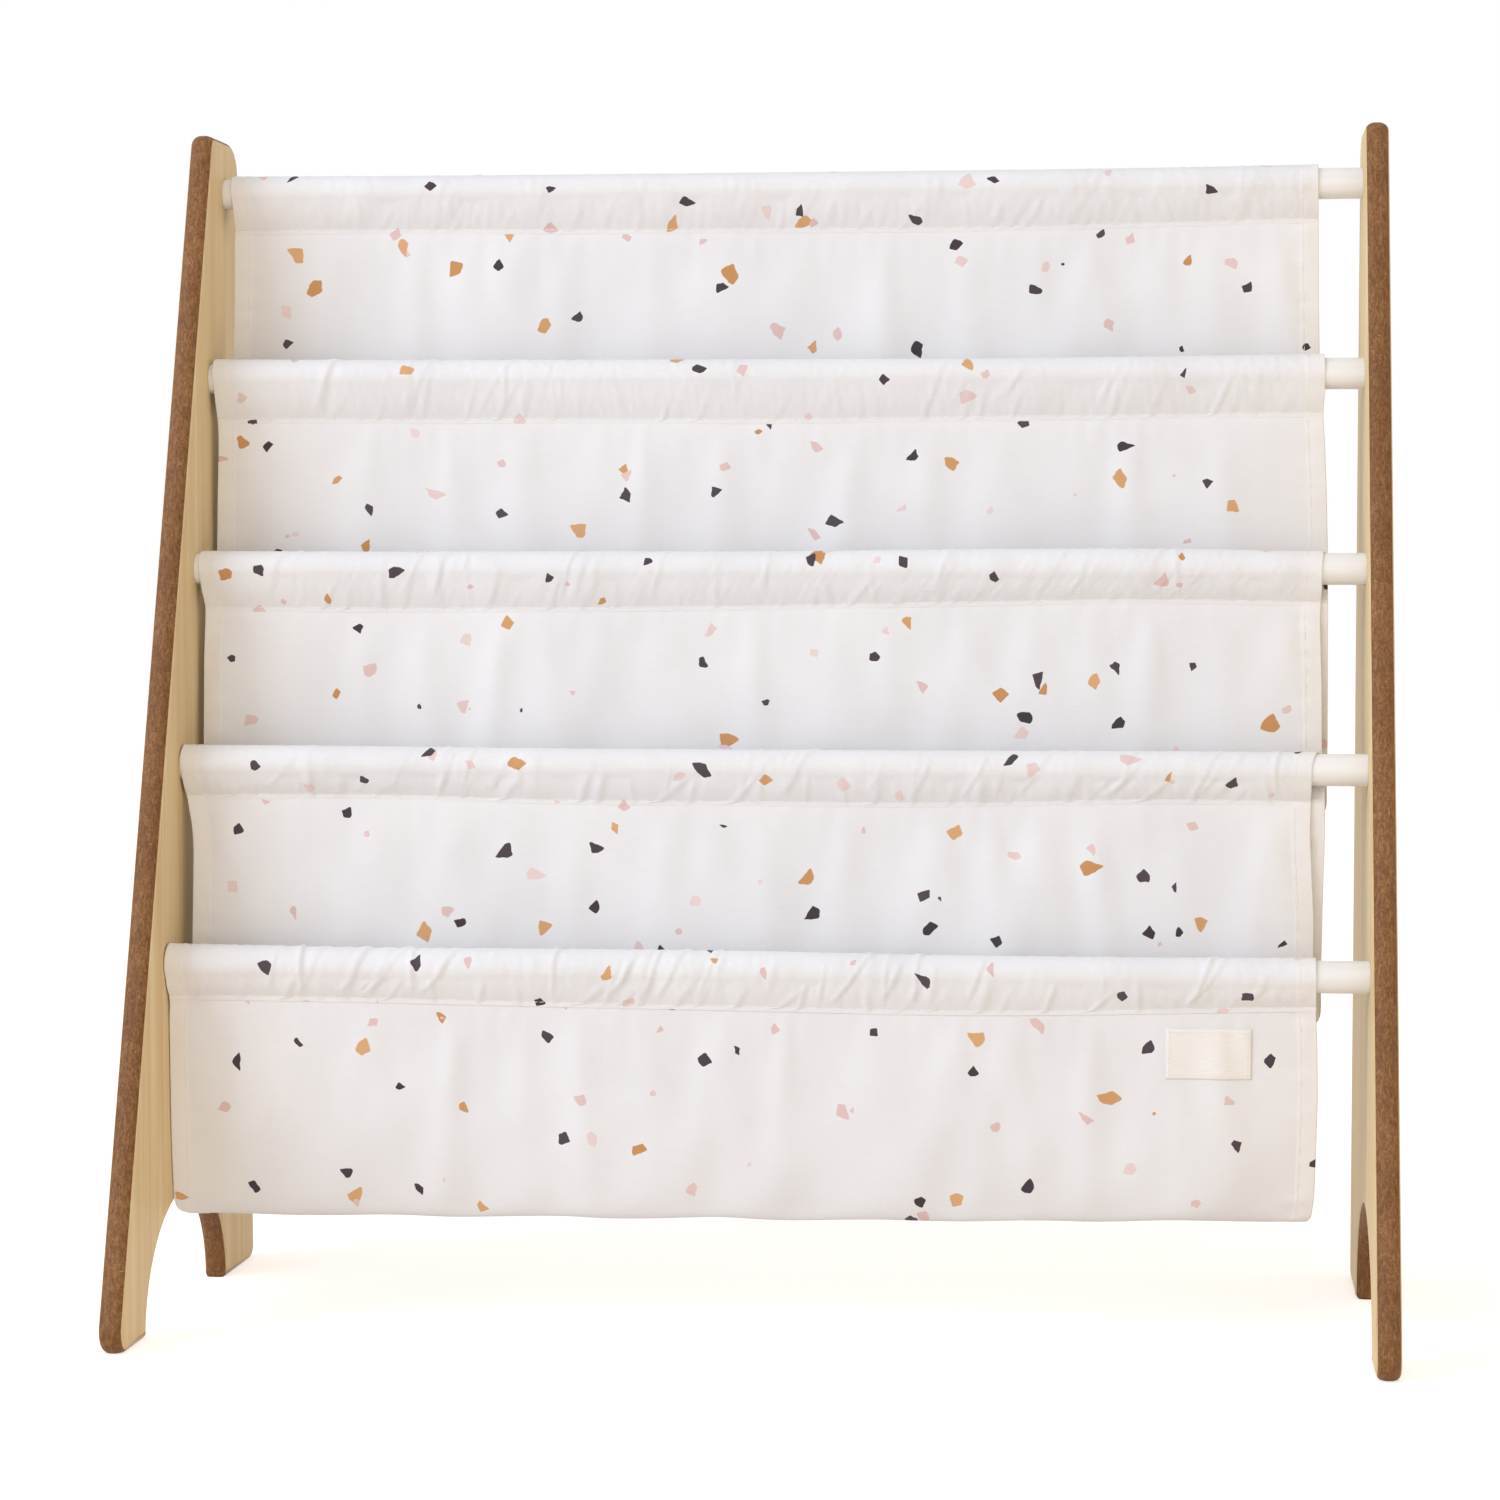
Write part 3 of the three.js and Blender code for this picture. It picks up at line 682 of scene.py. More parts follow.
def turned(name, profile, centre):
    """A shape turned about a line along X through centre, from (radius, x) pairs. A radius of 0 closes it."""
    sheet = bmesh.new()
    rings = [ring_of(sheet, 1, x, circle(centre, radius, RAIL_FACETS) if radius else [centre]) for radius, x in profile]
    for first, second in zip(rings, rings[1:]):
        if len(first) == len(second):
            bridge(sheet, (first, second))
            continue
        point, ring = (first[0], second) if len(first) == 1 else (second[0], first)
        for place in range(len(ring)):
            sheet.faces.new((point, ring[place], ring[(place + 1) % len(ring)]))
    return finished_mesh(sheet, name, 30)


def make_rails():
    shank = BOLT_RADIUS + FIT_GAP
    insert = INSERT_RADIUS + FIT_GAP
    insert_end = RAIL_END - INSERT_LENGTH
    bore_end = BOLT_TIP - BOLT_HOLE_SPARE
    half = [(0, bore_end), (shank, bore_end), (shank, insert_end), (insert, insert_end), (insert, RAIL_END),
            (RAIL_RADIUS - RAIL_CHAMFER, RAIL_END), (RAIL_RADIUS, RAIL_END - RAIL_CHAMFER)]
    profile = [(radius, -x) for radius, x in half] + half[::-1]
    for number, centre in enumerate(RAILS):
        name = f"round_rail_{number + 1}"
        made = piece(name, turned(name, profile, centre), PAINT, "frame")
        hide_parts(f"rail_{number + 1}")


make_rails()


def bolt_mesh():
    """A countersunk bolt that points along -X, with its head's top at x = 0 and a hexagon socket in it."""
    length = BOLT_TOP - BOLT_TIP
    cone_end = -BOLT_HEAD_RIM - (BOLT_HEAD_RADIUS - BOLT_RADIUS)
    sheet = bmesh.new()
    outside = [ring_of(sheet, 1, x, circle((0, 0), radius, BORE_FACETS)) for radius, x in (
        (BOLT_RADIUS - BOLT_TIP_CHAMFER, -length), (BOLT_RADIUS, BOLT_TIP_CHAMFER - length), (BOLT_RADIUS, cone_end),
        (BOLT_HEAD_RADIUS, -BOLT_HEAD_RIM), (BOLT_HEAD_RADIUS, -BOLT_HEAD_CHAMFER),
        (BOLT_HEAD_RADIUS - BOLT_HEAD_CHAMFER, 0))]
    bridge(sheet, outside)
    sheet.faces.new(outside[0])
    hexagon = circle((0, 0), HEX_KEY_SIZE / math.sqrt(3), 6)
    key = [ring_of(sheet, 1, x, hexagon) for x in (0, -HEX_KEY_DEPTH)]
    bridge(sheet, key)
    sheet.faces.new(key[1])
    fill_between(sheet, (outside[-1], key[0]))
    return finished_mesh(sheet, "bolt", 25)


def new_tree(name, sockets):
    """An empty Geometry Nodes tree with a geometry going in and out, and named inputs."""
    tree = bpy.data.node_groups.new(name, "GeometryNodeTree")
    tree.interface.new_socket("Geometry", in_out="INPUT", socket_type="NodeSocketGeometry")
    for label, kind in sockets.items():
        tree.interface.new_socket(label, in_out="INPUT", socket_type=f"NodeSocket{kind}")
    tree.interface.new_socket("Geometry", in_out="OUTPUT", socket_type="NodeSocketGeometry")
    return tree, add(tree, "NodeGroupInput").outputs


def copies(tree, points, instance, rotation):
    """Real copies of an instance on points."""
    placed = out(tree, "GeometryNodeInstanceOnPoints", {"Points": points, "Instance": instance, "Rotation": rotation})
    return out(tree, "GeometryNodeRealizeInstances", {"Geometry": placed})


def result(tree, geometry, material):
    """What a tree gives back, in one material."""
    dressed = out(tree, "GeometryNodeSetMaterial", {"Geometry": geometry, "Material": material})
    add(tree, "NodeGroupOutput", {"Geometry": dressed})
    return tree


def grown(name, guide, tree, values):
    """Runs a tree on a guide mesh and returns what it makes as a plain mesh."""
    source = linked(f"{name}_guide", guide)
    modifier = source.modifiers.new("grow", "NODES")
    modifier.node_group = tree
    for item in tree.interface.items_tree:
        if item.in_out == "INPUT" and item.name in values:
            modifier[item.identifier] = values[item.name]
    depsgraph = bpy.context.evaluated_depsgraph_get()
    mesh = bpy.data.meshes.new_from_object(source.evaluated_get(depsgraph), depsgraph=depsgraph)
    mesh.name = name
    bpy.data.objects.remove(source)
    return mesh


def bolt_tree():
    """A bolt on each point, turned by chance about its own length and pointing the way that the point says."""
    tree, given = new_tree("bolts_on_points", {"Bolt": "Object", "Seed": "Int", "Material": "Material"})
    bolt = add(tree, "GeometryNodeObjectInfo", {"Object": given["Bolt"]}).outputs["Geometry"]
    facing = out(tree, "GeometryNodeInputNamedAttribute", {"Name": "facing"}, data_type="FLOAT_VECTOR")
    limits = {0: (0, 0, 0), 1: (math.pi, 0, 0), "Seed": given["Seed"]}
    turn = out(tree, "FunctionNodeRandomValue", limits, data_type="FLOAT_VECTOR")
    spun = out(tree, "FunctionNodeRotateEuler", {"Rotation": facing, "Rotate By": turn}, space="LOCAL")
    return result(tree, copies(tree, given["Geometry"], bolt, spun), given["Material"])


def make_bolts():
    places = [(side * BOLT_TOP * MM, y * MM, z * MM) for side in (-1, 1) for y, z in RAILS]
    guide = bpy.data.meshes.new("bolt_places")
    guide.from_pydata(places, [], [])
    facing = guide.attributes.new("facing", "FLOAT_VECTOR", "POINT")
    for entry, (x, _, _) in zip(facing.data, places):
        entry.vector = (0, 0, 0 if x > 0 else math.pi)
    template = linked("bolt_template", bolt_mesh())
    mesh = grown("rail_bolts", guide, bolt_tree(), {"Bolt": template, "Seed": BOLT_SEED, "Material": ZINC})
    bpy.data.objects.remove(template)
    bolts = piece("rail_bolts", mesh, ZINC, "frame")
    ends = [f"rail_{number + 1}_{label}" for number in range(RAIL_COUNT) for label in ("left", "right")]
    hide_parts(*[f"{end}_bolt" for end in ends])
    for end in ends:
        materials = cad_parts[f"{end}_insert"].data.materials
        materials.clear()
        materials.append(BRASS)


make_bolts()


# Cloth. The sling is one long printed cloth, sewn to itself below each rail. Every stretch of it is worked out on
# a grid: x is the place across the cloth from its left edge, and the other coordinate runs along it from the rear
# of the top rail to the front of the lowest.


def smooth_step(value, start, end):
    """0 up to start, 1 from end on, and an S curve between them."""
    share = np.clip((value - start) / (end - start), 0, 1)
    return share * share * (3 - 2 * share)


def bell(value, width):
    """A bump of unit height round 0."""
    return np.exp(-((value / width) ** 2))


def between(first, second, share):
    """A share of the way from first to second."""
    return first * (1 - share) + second * share


def grid(*parts):
    """Coordinates from rows, columns or grids of their parts."""
    return np.stack(np.broadcast_arrays(*parts), axis=-1)


def unit(vectors):
    """Vectors drawn out to a length of 1."""
    return vectors / np.linalg.norm(vectors, axis=-1)[..., None]


def eased(knots, place, blur=EDGE_BLUR):
    """A line through (place, value) knots, with its bends eased over a blur either way."""
    places, values = zip(*knots)
    shifts = np.linspace(-blur, blur, BLUR_STEPS)
    return sum(np.interp(place + shift, places, values) for shift in shifts) / BLUR_STEPS


def across_level(values, place, blur=KNOT_BLUR):
    """A value at each place across the cloth, from a level's values at KNOT_PLACES."""
    return eased(tuple(zip(KNOT_PLACES, values)), place, blur)


def waves(seed, x, along, shortest, longest, slant):
    """Irregular ripples of unit height across x, between two wavelengths, that wander as they go along the cloth."""
    chance = np.random.default_rng(seed)
    total = np.zeros(np.broadcast(x, along).shape)
    for _ in range(RIPPLE_COUNT):
        length = shortest * (longest / shortest) ** chance.random()
        lean = slant * chance.normal()
        total = total + np.sin(2 * math.pi * (x + lean * along) / length + 2 * math.pi * chance.random())
    return total / math.sqrt(RIPPLE_COUNT / 2)


def crease(x, climb, foot, lean, start, end, height, width):
    """A crease that leans as it climbs from the seam: gentle on its left, and steep on its right down to a trough."""
    across = (x - foot - lean * climb) / width
    profile = bell(across, np.where(across < 0, 1, 0.6)) - 0.4 * bell(across - 1.5, 1)
    return height * profile * smooth_step(climb, start, start + 0.6) * (1 - smooth_step(climb, end - 0.8, end))


def sleeve_creases(level, x, climb):
    """All creases of a sleeve.

    climb is 0 at its front seam, 1 where it meets the rail, 2 on top and 4 at its rear seam.
    """
    chance = np.random.default_rng(CREASE_SEED + level)
    total = np.zeros(np.broadcast(x, climb).shape)
    for side in (climb, 4 - climb):
        foot = CLOTH_START + 14 + 16 * chance.random()
        while foot < CLOTH_START + CLOTH_WIDTH - 12:
            total += crease(x, side, foot, 4 + 5 * chance.normal(), -0.8, 0.7 + 0.8 * chance.random(),
                            TUCK_HEIGHT[level] * (0.25 + 0.75 * chance.random()), 1.4 + 2.0 * chance.random())
            foot += 7 + 17 * chance.random()
    for centre, spread, count, height in GATHERS[level]:
        for _ in range(count):
            total += crease(x, climb, centre + spread * chance.normal(), 6 + 4 * chance.normal(),
                            0.1 * chance.normal(), 1.7 + 1.3 * chance.random(),
                            height * (0.4 + 0.8 * chance.random()), 1.2 + 1.8 * chance.random())
    return total


def columns(step):
    """A row of places across the cloth in millimetres, closer together at its hems."""
    edge = [0, 0.25, 0.7, 1.5, 3.0, 4.8, 6.4, 7.3, 7.9, 8.5, 9.0, 9.4, 9.9, 10.8]
    steps = round((CLOTH_WIDTH - 2 * edge[-1]) / step)
    inner = list(np.linspace(edge[-1], CLOTH_WIDTH - edge[-1], steps + 1))
    return np.array(edge[:-1] + inner + [CLOTH_WIDTH - place for place in reversed(edge[:-1])])[None, :]


def hem_extra(x):
    """Extra thickness of the turned and sewn hem at each side."""
    side = np.minimum(x, CLOTH_WIDTH - x)
    body = 1 - smooth_step(side, HEM_WIDTH - 0.5, HEM_WIDTH + 0.4)
    return HEM_EXTRA * body - 0.3 * bell(side - HEM_STITCH, 0.6)


def cloth_mesh(name, points, thickness, flat):
    """A closed thin mesh round a grid of middle points, with the flat place of each point kept in an attribute."""
    rows, cols = points.shape[:2]
    normal = unit(np.cross(np.gradient(points, axis=0), np.gradient(points, axis=1)))
    lip = np.full((rows, cols), LIP_SHARE)
    lip[1:-1, 1:-1] = 1
    lift = (thickness * lip / 2)[:, :, None]
    both = np.concatenate(((points + normal * lift).reshape(-1, 3), (points - normal * lift).reshape(-1, 3))) * MM
    number = np.arange(rows * cols).reshape(rows, cols)
    back = number + rows * cols
    quads = [
        np.stack((number[:-1, :-1], number[1:, :-1], number[1:, 1:], number[:-1, 1:]), axis=-1).reshape(-1, 4),
        np.stack((back[:-1, :-1], back[:-1, 1:], back[1:, 1:], back[1:, :-1]), axis=-1).reshape(-1, 4),
    ]
    rim = np.concatenate((number[0, :-1], number[:-1, -1], number[-1, :0:-1], number[:0:-1, 0]))
    beside = np.roll(rim, -1)
    quads.append(np.stack((rim, beside, beside + rows * cols, rim + rows * cols), axis=-1))
    mesh = bpy.data.meshes.new(name)
    mesh.from_pydata(both.tolist(), [], np.concatenate(quads).tolist())
    mesh.attributes.new("flat", "FLOAT_VECTOR", "POINT")
    place = np.concatenate((flat.reshape(-1, 2), flat.reshape(-1, 2))) * MM
    place = np.column_stack((place, np.zeros(len(place)))).astype(np.float32)
    mesh.attributes["flat"].data.foreach_set("vector", place.ravel())
    mesh.shade_smooth()
    return mesh


# Lengths along a sleeve: its sewn tail, the straight stretch up to the rail, and the turn to the rail's top
SLEEVE_RADIUS = RAIL_RADIUS + CLOTH_THICKNESS / 2 + 0.06
SEAM_DEPTH = SEAM_DROP - SEAM_BAND / 2
SLEEVE_STRAIGHT = math.sqrt(SEAM_DEPTH**2 - SLEEVE_RADIUS**2)
SLEEVE_TURN = SLEEVE_RADIUS * (math.pi - math.acos(SLEEVE_RADIUS / SEAM_DEPTH))
SLEEVE_MARKS = np.cumsum([0, SEAM_BAND, SLEEVE_STRAIGHT, SLEEVE_TURN, SLEEVE_TURN, SLEEVE_STRAIGHT, SEAM_BAND])
SLEEVE_LENGTH = float(SLEEVE_MARKS[-1])


def seam_depth(level, x):
    """Depth of the stitches below the rail's middle."""
    return across_level(SEAM_DROPS[level], x + CLOTH_START) - SEAM_BAND / 2


def sleeve_surface(level, x, w):
    """Middle of the cloth of a sleeve.

    w is 0 at its rear tail's end, 1 at the rear stitches, 3 on top of the rail and 6 at its front tail's end.
    """
    centre_y, centre_z = RAILS[level]
    place = x + CLOTH_START
    seam = seam_depth(level, x)
    spread = np.arccos(SLEEVE_RADIUS / seam)
    front = np.where(w > 3, 1.0, -1.0)
    part = np.minimum(w, 6 - w)
    swirl, rise, tail = np.clip(part - 2, 0, 1), np.clip(part - 1, 0, 1), np.clip(1 - part, 0, 1)
    angle = spread + (math.pi - spread) * swirl
    straight = SEAM_HALF + (SLEEVE_RADIUS * np.sin(spread) - SEAM_HALF) * rise
    away = np.where(part > 2, SLEEVE_RADIUS * np.sin(angle), straight)
    up = np.where(part > 2, -SLEEVE_RADIUS * np.cos(angle), -seam + (seam - SLEEVE_RADIUS * np.cos(spread)) * rise)
    up = up - SEAM_BAND * tail
    out_y = np.where(part > 2, np.sin(angle), 1 + (np.sin(spread) - 1) * rise)
    out_z = np.where(part > 2, -np.cos(angle), -np.cos(spread) * rise)
    climb = 5 - w
    bag = BAG_HEIGHT * np.sin(math.pi * rise) * (1 - tail)
    sway = SWAY_HEIGHT * waves(SWAY_SEED + level, place, 20 * climb, 22, 70, 0.4)
    sway = sway * np.sin(math.pi * np.clip((part - 1) / 2, 0, 1))
    loose = LOOSE_SHARE * across_level(LOOSENESS[level], place) * bell(climb - 2, 0.8)
    fine = FINE_HEIGHT * waves(FINE_SEED + level, place, 20 * climb, 4, 10, 0.5)
    # The cloth can't go into the rail
    least = np.where(part > 2, 0.0, -0.5 * np.sin(math.pi * rise))
    wish = bag + sway + loose + fine + sleeve_creases(level, place, climb) - least
    out = least + (wish + np.sqrt(wish * wish + 0.02)) / 2
    groove = -0.05 * bell(part - 1, 0.06)
    out = out * (1 - 0.5 * tail) + groove
    return centre_y - front * (away + out * out_y), centre_z + up + out * out_z


def sleeve_rows():
    """Places along a sleeve, closer together at its seams."""
    tail = [0, 0.1, 0.28, 0.46, 0.62, 0.76, 0.88, 0.95]
    straight = [1, 1.03, 1.08, 1.15] + list(np.linspace(1.24, 2, 11)[:-1])
    half = tail + straight + list(np.linspace(2, 3, 14)[:-1])
    return np.array(half + [3] + [6 - place for place in reversed(half)])


def hang(level):
    """The catenary of an empty pocket: its scale, the lengths of its back and front, and its lowest point."""
    back_y = RAILS[level][0] - LAYER_OFFSET
    front_y = RAILS[level + 1][0] + (-SEWN_OFFSET if level == RAIL_COUNT - 2 else LAYER_OFFSET)
    lowest = RAILS[level + 1][1] - POCKET_DROP + CLOTH_THICKNESS / 2
    back_rise, front_rise = (RAILS[rail][1] - SEAM_DEPTH - POCKET_TUCKED - lowest for rail in (level, level + 1))
    # The scale at which the catenary spans the two seams, found by halving
    low, high = 1.0, 16.0
    for _ in range(40):
        scale = (low + high) / 2
        span = scale * (math.acosh(1 + back_rise / scale) + math.acosh(1 + front_rise / scale))
        low, high = (scale, high) if span < back_y - front_y else (low, scale)
    back, front = (math.sqrt((rise + scale) ** 2 - scale**2) for rise in (back_rise, front_rise))
    return scale, back, front, back_y - scale * math.acosh(1 + back_rise / scale), lowest


def fans(seed, x, depth):
    """Soft folds that start at the gathers of a seam and spread as they go down."""
    chance = np.random.default_rng(seed)
    total = np.zeros(np.broadcast(x, depth).shape)
    foot = CLOTH_START + 10 + 20 * chance.random()
    while foot < CLOTH_START + CLOTH_WIDTH - 8:
        height = 0.3 + 0.7 * chance.random()
        width = 3.5 + 2.5 * chance.random() + (0.07 + 0.07 * chance.random()) * depth
        drifts = (-0.16, 0.14) if chance.random() < 0.35 else (0.07 * chance.normal(),)
        for drift in drifts:
            across = (x - foot - drift * depth) / width
            total += height / len(drifts) ** 0.5 * bell(across, 1)
        foot += 22 + 26 * chance.random()
    return total - 0.35


def drape(level, x, depth):
    """How far the cloth under a rail stands back from its plane, at a depth below the seam."""
    growth = 1 - np.exp(-depth / DRAPE_GROWTH)
    phase = 2 * math.pi * 0.31 * level
    wide = np.sin(2 * math.pi * x / DRAPE_WAVES[0] + phase) + 0.4 * np.sin(2 * math.pi * x / DRAPE_WAVES[1] - phase)
    gathers = 0.22 * waves(GATHER_SEED + level, x, depth, 9, 20, 0.05) * np.exp(-depth / 13) * smooth_step(depth, 2, 6)
    lazy = 0.3 * waves(LAZY_SEED + level, x + 0.4 * depth, depth, 50, 120, 0.4) * smooth_step(depth, 10, 60)
    folds = FOLD_HEIGHT * fans(FAN_SEED + level, x, depth) * smooth_step(depth, 2, 30)
    return DRAPE_HEIGHT * growth * wide / 1.4 + gathers + lazy - folds


def pocket_surface(level, x, s):
    """Middle of the cloth of a pocket. s is the distance along it from its lowest line, positive on its front."""
    scale, back, front, low_y, low_z = hang(level)
    place = x + CLOTH_START
    back_swing = drape(level, place, np.maximum(back + np.minimum(s, 0), 0))
    front_swing = drape(level + 1, place, np.maximum(front - np.maximum(s, 0), 0))
    swing = between(back_swing, front_swing, smooth_step(s, -FOLD_REACH, FOLD_REACH))
    above_back, above_front = np.maximum(back + s, 0), np.maximum(front - s, 0)
    front_pinch = (level < RAIL_COUNT - 2) * np.exp(-above_front / PINCH_REACH)
    pinch = (LAYER_OFFSET - SEWN_OFFSET) * (np.exp(-above_back / PINCH_REACH) - front_pinch)
    y = low_y - scale * np.arcsinh(s / scale) + swing + pinch
    z = low_z + np.sqrt(scale * scale + s * s) - scale
    # Its top edges follow the two seams, and its fold hangs a little unevenly
    for rail, depth in ((level, above_back), (level + 1, above_front)):
        z = z + (SEAM_DEPTH - seam_depth(rail, x)) * bell(depth, SEAM_REACH)
    fold = across_level(FOLD_LIFT[level], place, FOLD_BLUR) + 0.25 * waves(FOLD_SEED + level, x, 0 * s, 60, 200, 0)
    return y, z + fold * bell(s, FOLD_SPREAD)


def sleeve_edges(level, drop, w):
    """Left and right edge of a sleeve, whose rear lies a little further right."""
    share = smooth_step(w, 2.3, 3.7)
    right = between(eased(RIGHT_BEHIND[level], drop), eased(RIGHT_EDGE[level], drop), share)
    return eased(LEFT_EDGE[level], drop) + 0.6 * (1 - share), right


def pocket_edges(level, z, s):
    """Left and right edge of a pocket, with the corners of its fold drawn in."""
    share = smooth_step(s, -FOLD_REACH, FOLD_REACH)
    drops = RAILS[level][1] - z, RAILS[level + 1][1] - z
    behind, corner = (0, 5.6) if level == RAIL_COUNT - 2 else (0.8, 3)
    left = between(eased(LEFT_EDGE[level], drops[0]), eased(LEFT_EDGE[level + 1], drops[1]) + behind, share)
    right = between(eased(RIGHT_EDGE[level], drops[0]), eased(RIGHT_BEHIND[level + 1], drops[1]), share)
    return left + corner * bell(s, 3.2), right - 2.5 * bell(s, 4)


def sheet_of(level, kind, x, along):
    """Middle points of a piece of the sling, in millimetres, on the grid of x and its place along the cloth."""
    if kind == "sleeve":
        y, z = sleeve_surface(level, x, along)
        left, right = sleeve_edges(level, RAILS[level][1] - z, along)
    else:
        y, z = pocket_surface(level, x, along)
        side = np.minimum(x, CLOTH_WIDTH - x)
        y = y + 0.25 * waves(HEM_SEED + level, along, 0 * x, 8, 19, 0) * bell(side - HEM_STITCH, 6)
        left, right = pocket_edges(level, z, along)
    left = np.maximum(left, -LEFT_LIMIT)
    right = np.minimum(right, RIGHT_LIMIT)
    return grid(left + (right - left) * x / CLOTH_WIDTH, y, z)


def stitch_tree():
    """A row of stitches along each guide line. Each is a short thread that dips at both ends."""
    tree, given = new_tree("stitches_along_lines", {
        "Pitch": "Float", "Stitch Length": "Float", "Thread Width": "Float", "Unevenness": "Float", "Seed": "Int",
        "Material": "Material"})
    line = out(tree, "GeometryNodeMeshToCurve", {"Mesh": given["Geometry"]})
    even = out(tree, "GeometryNodeResampleCurve", {"Curve": line, "Length": given["Pitch"]}, mode="LENGTH")
    bead = out(tree, "GeometryNodeMeshUVSphere", {"Segments": 6, "Rings": 4, "Radius": 0.5})
    width = given["Thread Width"]
    size = out(tree, "ShaderNodeCombineXYZ", {"X": width, "Y": width, "Z": given["Stitch Length"]})
    thread = out(tree, "GeometryNodeTransform", {"Geometry": bead, "Scale": size})
    most = given["Unevenness"]
    limits = {2: calc(tree, "MULTIPLY", most, -1.0), 3: most, "Seed": given["Seed"]}
    jitter = add(tree, "FunctionNodeRandomValue", limits, data_type="FLOAT").outputs[1]
    sway = out(tree, "ShaderNodeCombineXYZ", {"X": jitter, "Z": jitter})
    leaning = vector_calc(tree, "ADD", out(tree, "GeometryNodeInputTangent"), sway)
    along = out(tree, "FunctionNodeAlignRotationToVector", {"Vector": leaning}, axis="Z")
    smooth = out(tree, "GeometryNodeSetShadeSmooth", {"Geometry": copies(tree, even, thread, along)})
    return result(tree, smooth, given["Material"])


STITCHES = stitch_tree()
HEM_ROWS = (HEM_STITCH, CLOTH_WIDTH - HEM_STITCH)


def sewn(name, lines, seed, pitch=STITCH_PITCH, length=STITCH_LENGTH):
    """Stitches along lines of points in millimetres."""
    points, edges = [], []
    for line in lines:
        edges += [(len(points) + place, len(points) + place + 1) for place in range(len(line) - 1)]
        points += [tuple(float(value) * MM for value in point) for point in line]
    guide = bpy.data.meshes.new(f"{name}_guide")
    guide.from_pydata(points, edges, [])
    mesh = grown(name, guide, STITCHES, {
        "Pitch": pitch * MM, "Stitch Length": length * MM, "Thread Width": THREAD_WIDTH * MM,
        "Unevenness": 0.08, "Seed": seed, "Material": THREAD})
    return piece(name, mesh, THREAD, "sling")


def on_surface(level, kind, x, along, lift):
    """Points a lift above the outside of a sleeve or the inside of a pocket, along a row or a column of the cloth."""
    step = 0.02 if kind == "sleeve" else 0.3
    down = sheet_of(level, kind, x, along + step) - sheet_of(level, kind, x, along - step)
    across = sheet_of(level, kind, x + 0.3, along) - sheet_of(level, kind, x - 0.3, along)
    return sheet_of(level, kind, x, along) + unit(np.cross(down, across)) * lift


def pocket_length(level):
    """Length of a pocket's cloth, from seam to seam."""
    _, back, front, _, _ = hang(level)
    return back + front


def length_above(level):
    """Length of the cloth before a level's sleeve."""
    return sum(pocket_length(above) + SLEEVE_LENGTH for above in range(level))


def cloth_piece(level, kind, x, along, thickness, length):
    """The cloth of a sleeve or a pocket. length is how far along the whole flat cloth each place is."""
    name = f"{kind}_cloth_{level + 1}"
    mesh = cloth_mesh(name, sheet_of(level, kind, x, along), thickness, grid(x, length))
    cloth = piece(name, mesh, CANVAS, "sling")
    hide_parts(f"{kind}_{level + 1}")
    return cloth


def make_sleeve(level):
    x = columns(SLEEVE_COLUMN_STEP)
    w = sleeve_rows()[:, None]
    thickness = (CLOTH_THICKNESS + 0.5 * hem_extra(x)) * (1 - 0.4 * np.clip(1 - np.minimum(w, 6 - w), 0, 1))
    length = length_above(level) + np.interp(w, range(7), SLEEVE_MARKS)
    cloth = cloth_piece(level, "sleeve", x, w, thickness, length)
    along = np.arange(2, CLOTH_WIDTH - 2, 2.0)
    over = np.linspace(1.15, 4.85, 70)
    skin = CLOTH_THICKNESS / 2
    lines = [on_surface(level, "sleeve", along, np.full(along.shape, row), skin + 0.05) for row in (1.0, 5.0)]
    lines += [on_surface(level, "sleeve", np.full(over.shape, hem), over, skin + 0.02) for hem in HEM_ROWS]
    stitches = sewn(f"sleeve_stitches_{level + 1}", lines, SLEEVE_STITCH_SEED + level)


def pocket_rows(level):
    """Places along a pocket, closer together at its seams and its fold."""
    _, back, front, _, _ = hang(level)
    seam = [0, 0.8, 1.8, 3.0, 4.5, 6.4, 8.8]
    fold = list(np.arange(-POCKET_FINE_REACH, POCKET_FINE_REACH + 0.1, POCKET_FINE_STEP))
    fine = 1.5 * POCKET_FINE_REACH
    rear = list(np.linspace(seam[-1] - back, fold[0], int((back - fine) / POCKET_ROW_STEP))[1:-1])
    fore = list(np.linspace(fold[-1], front - seam[-1], int((front - fine) / POCKET_ROW_STEP))[1:-1])
    ends = [depth - back for depth in seam], [front - depth for depth in reversed(seam)]
    return np.array(ends[0] + rear + fold + fore + ends[1])


def make_pocket(level):
    _, back, front, _, _ = hang(level)
    x = columns(POCKET_COLUMN_STEP)
    s = pocket_rows(level)[:, None]
    thickness = CLOTH_THICKNESS + hem_extra(x) + 0 * s
    cloth = cloth_piece(level, "pocket", x, s, thickness, length_above(level) + SLEEVE_LENGTH + back + s)
    down = np.arange(4 - back, front - 4, 1.5)
    lines = [on_surface(level, "pocket", np.full(down.shape, hem), down, face * (CLOTH_THICKNESS / 2 + 0.14))
             for hem in HEM_ROWS for face in (-1, 1)]
    stitches = sewn(f"hem_stitches_{level + 1}", lines, HEM_STITCH_SEED + level)


for rail_level in range(RAIL_COUNT):
    make_sleeve(rail_level)
for pocket_level in range(RAIL_COUNT - 1):
    make_pocket(pocket_level)


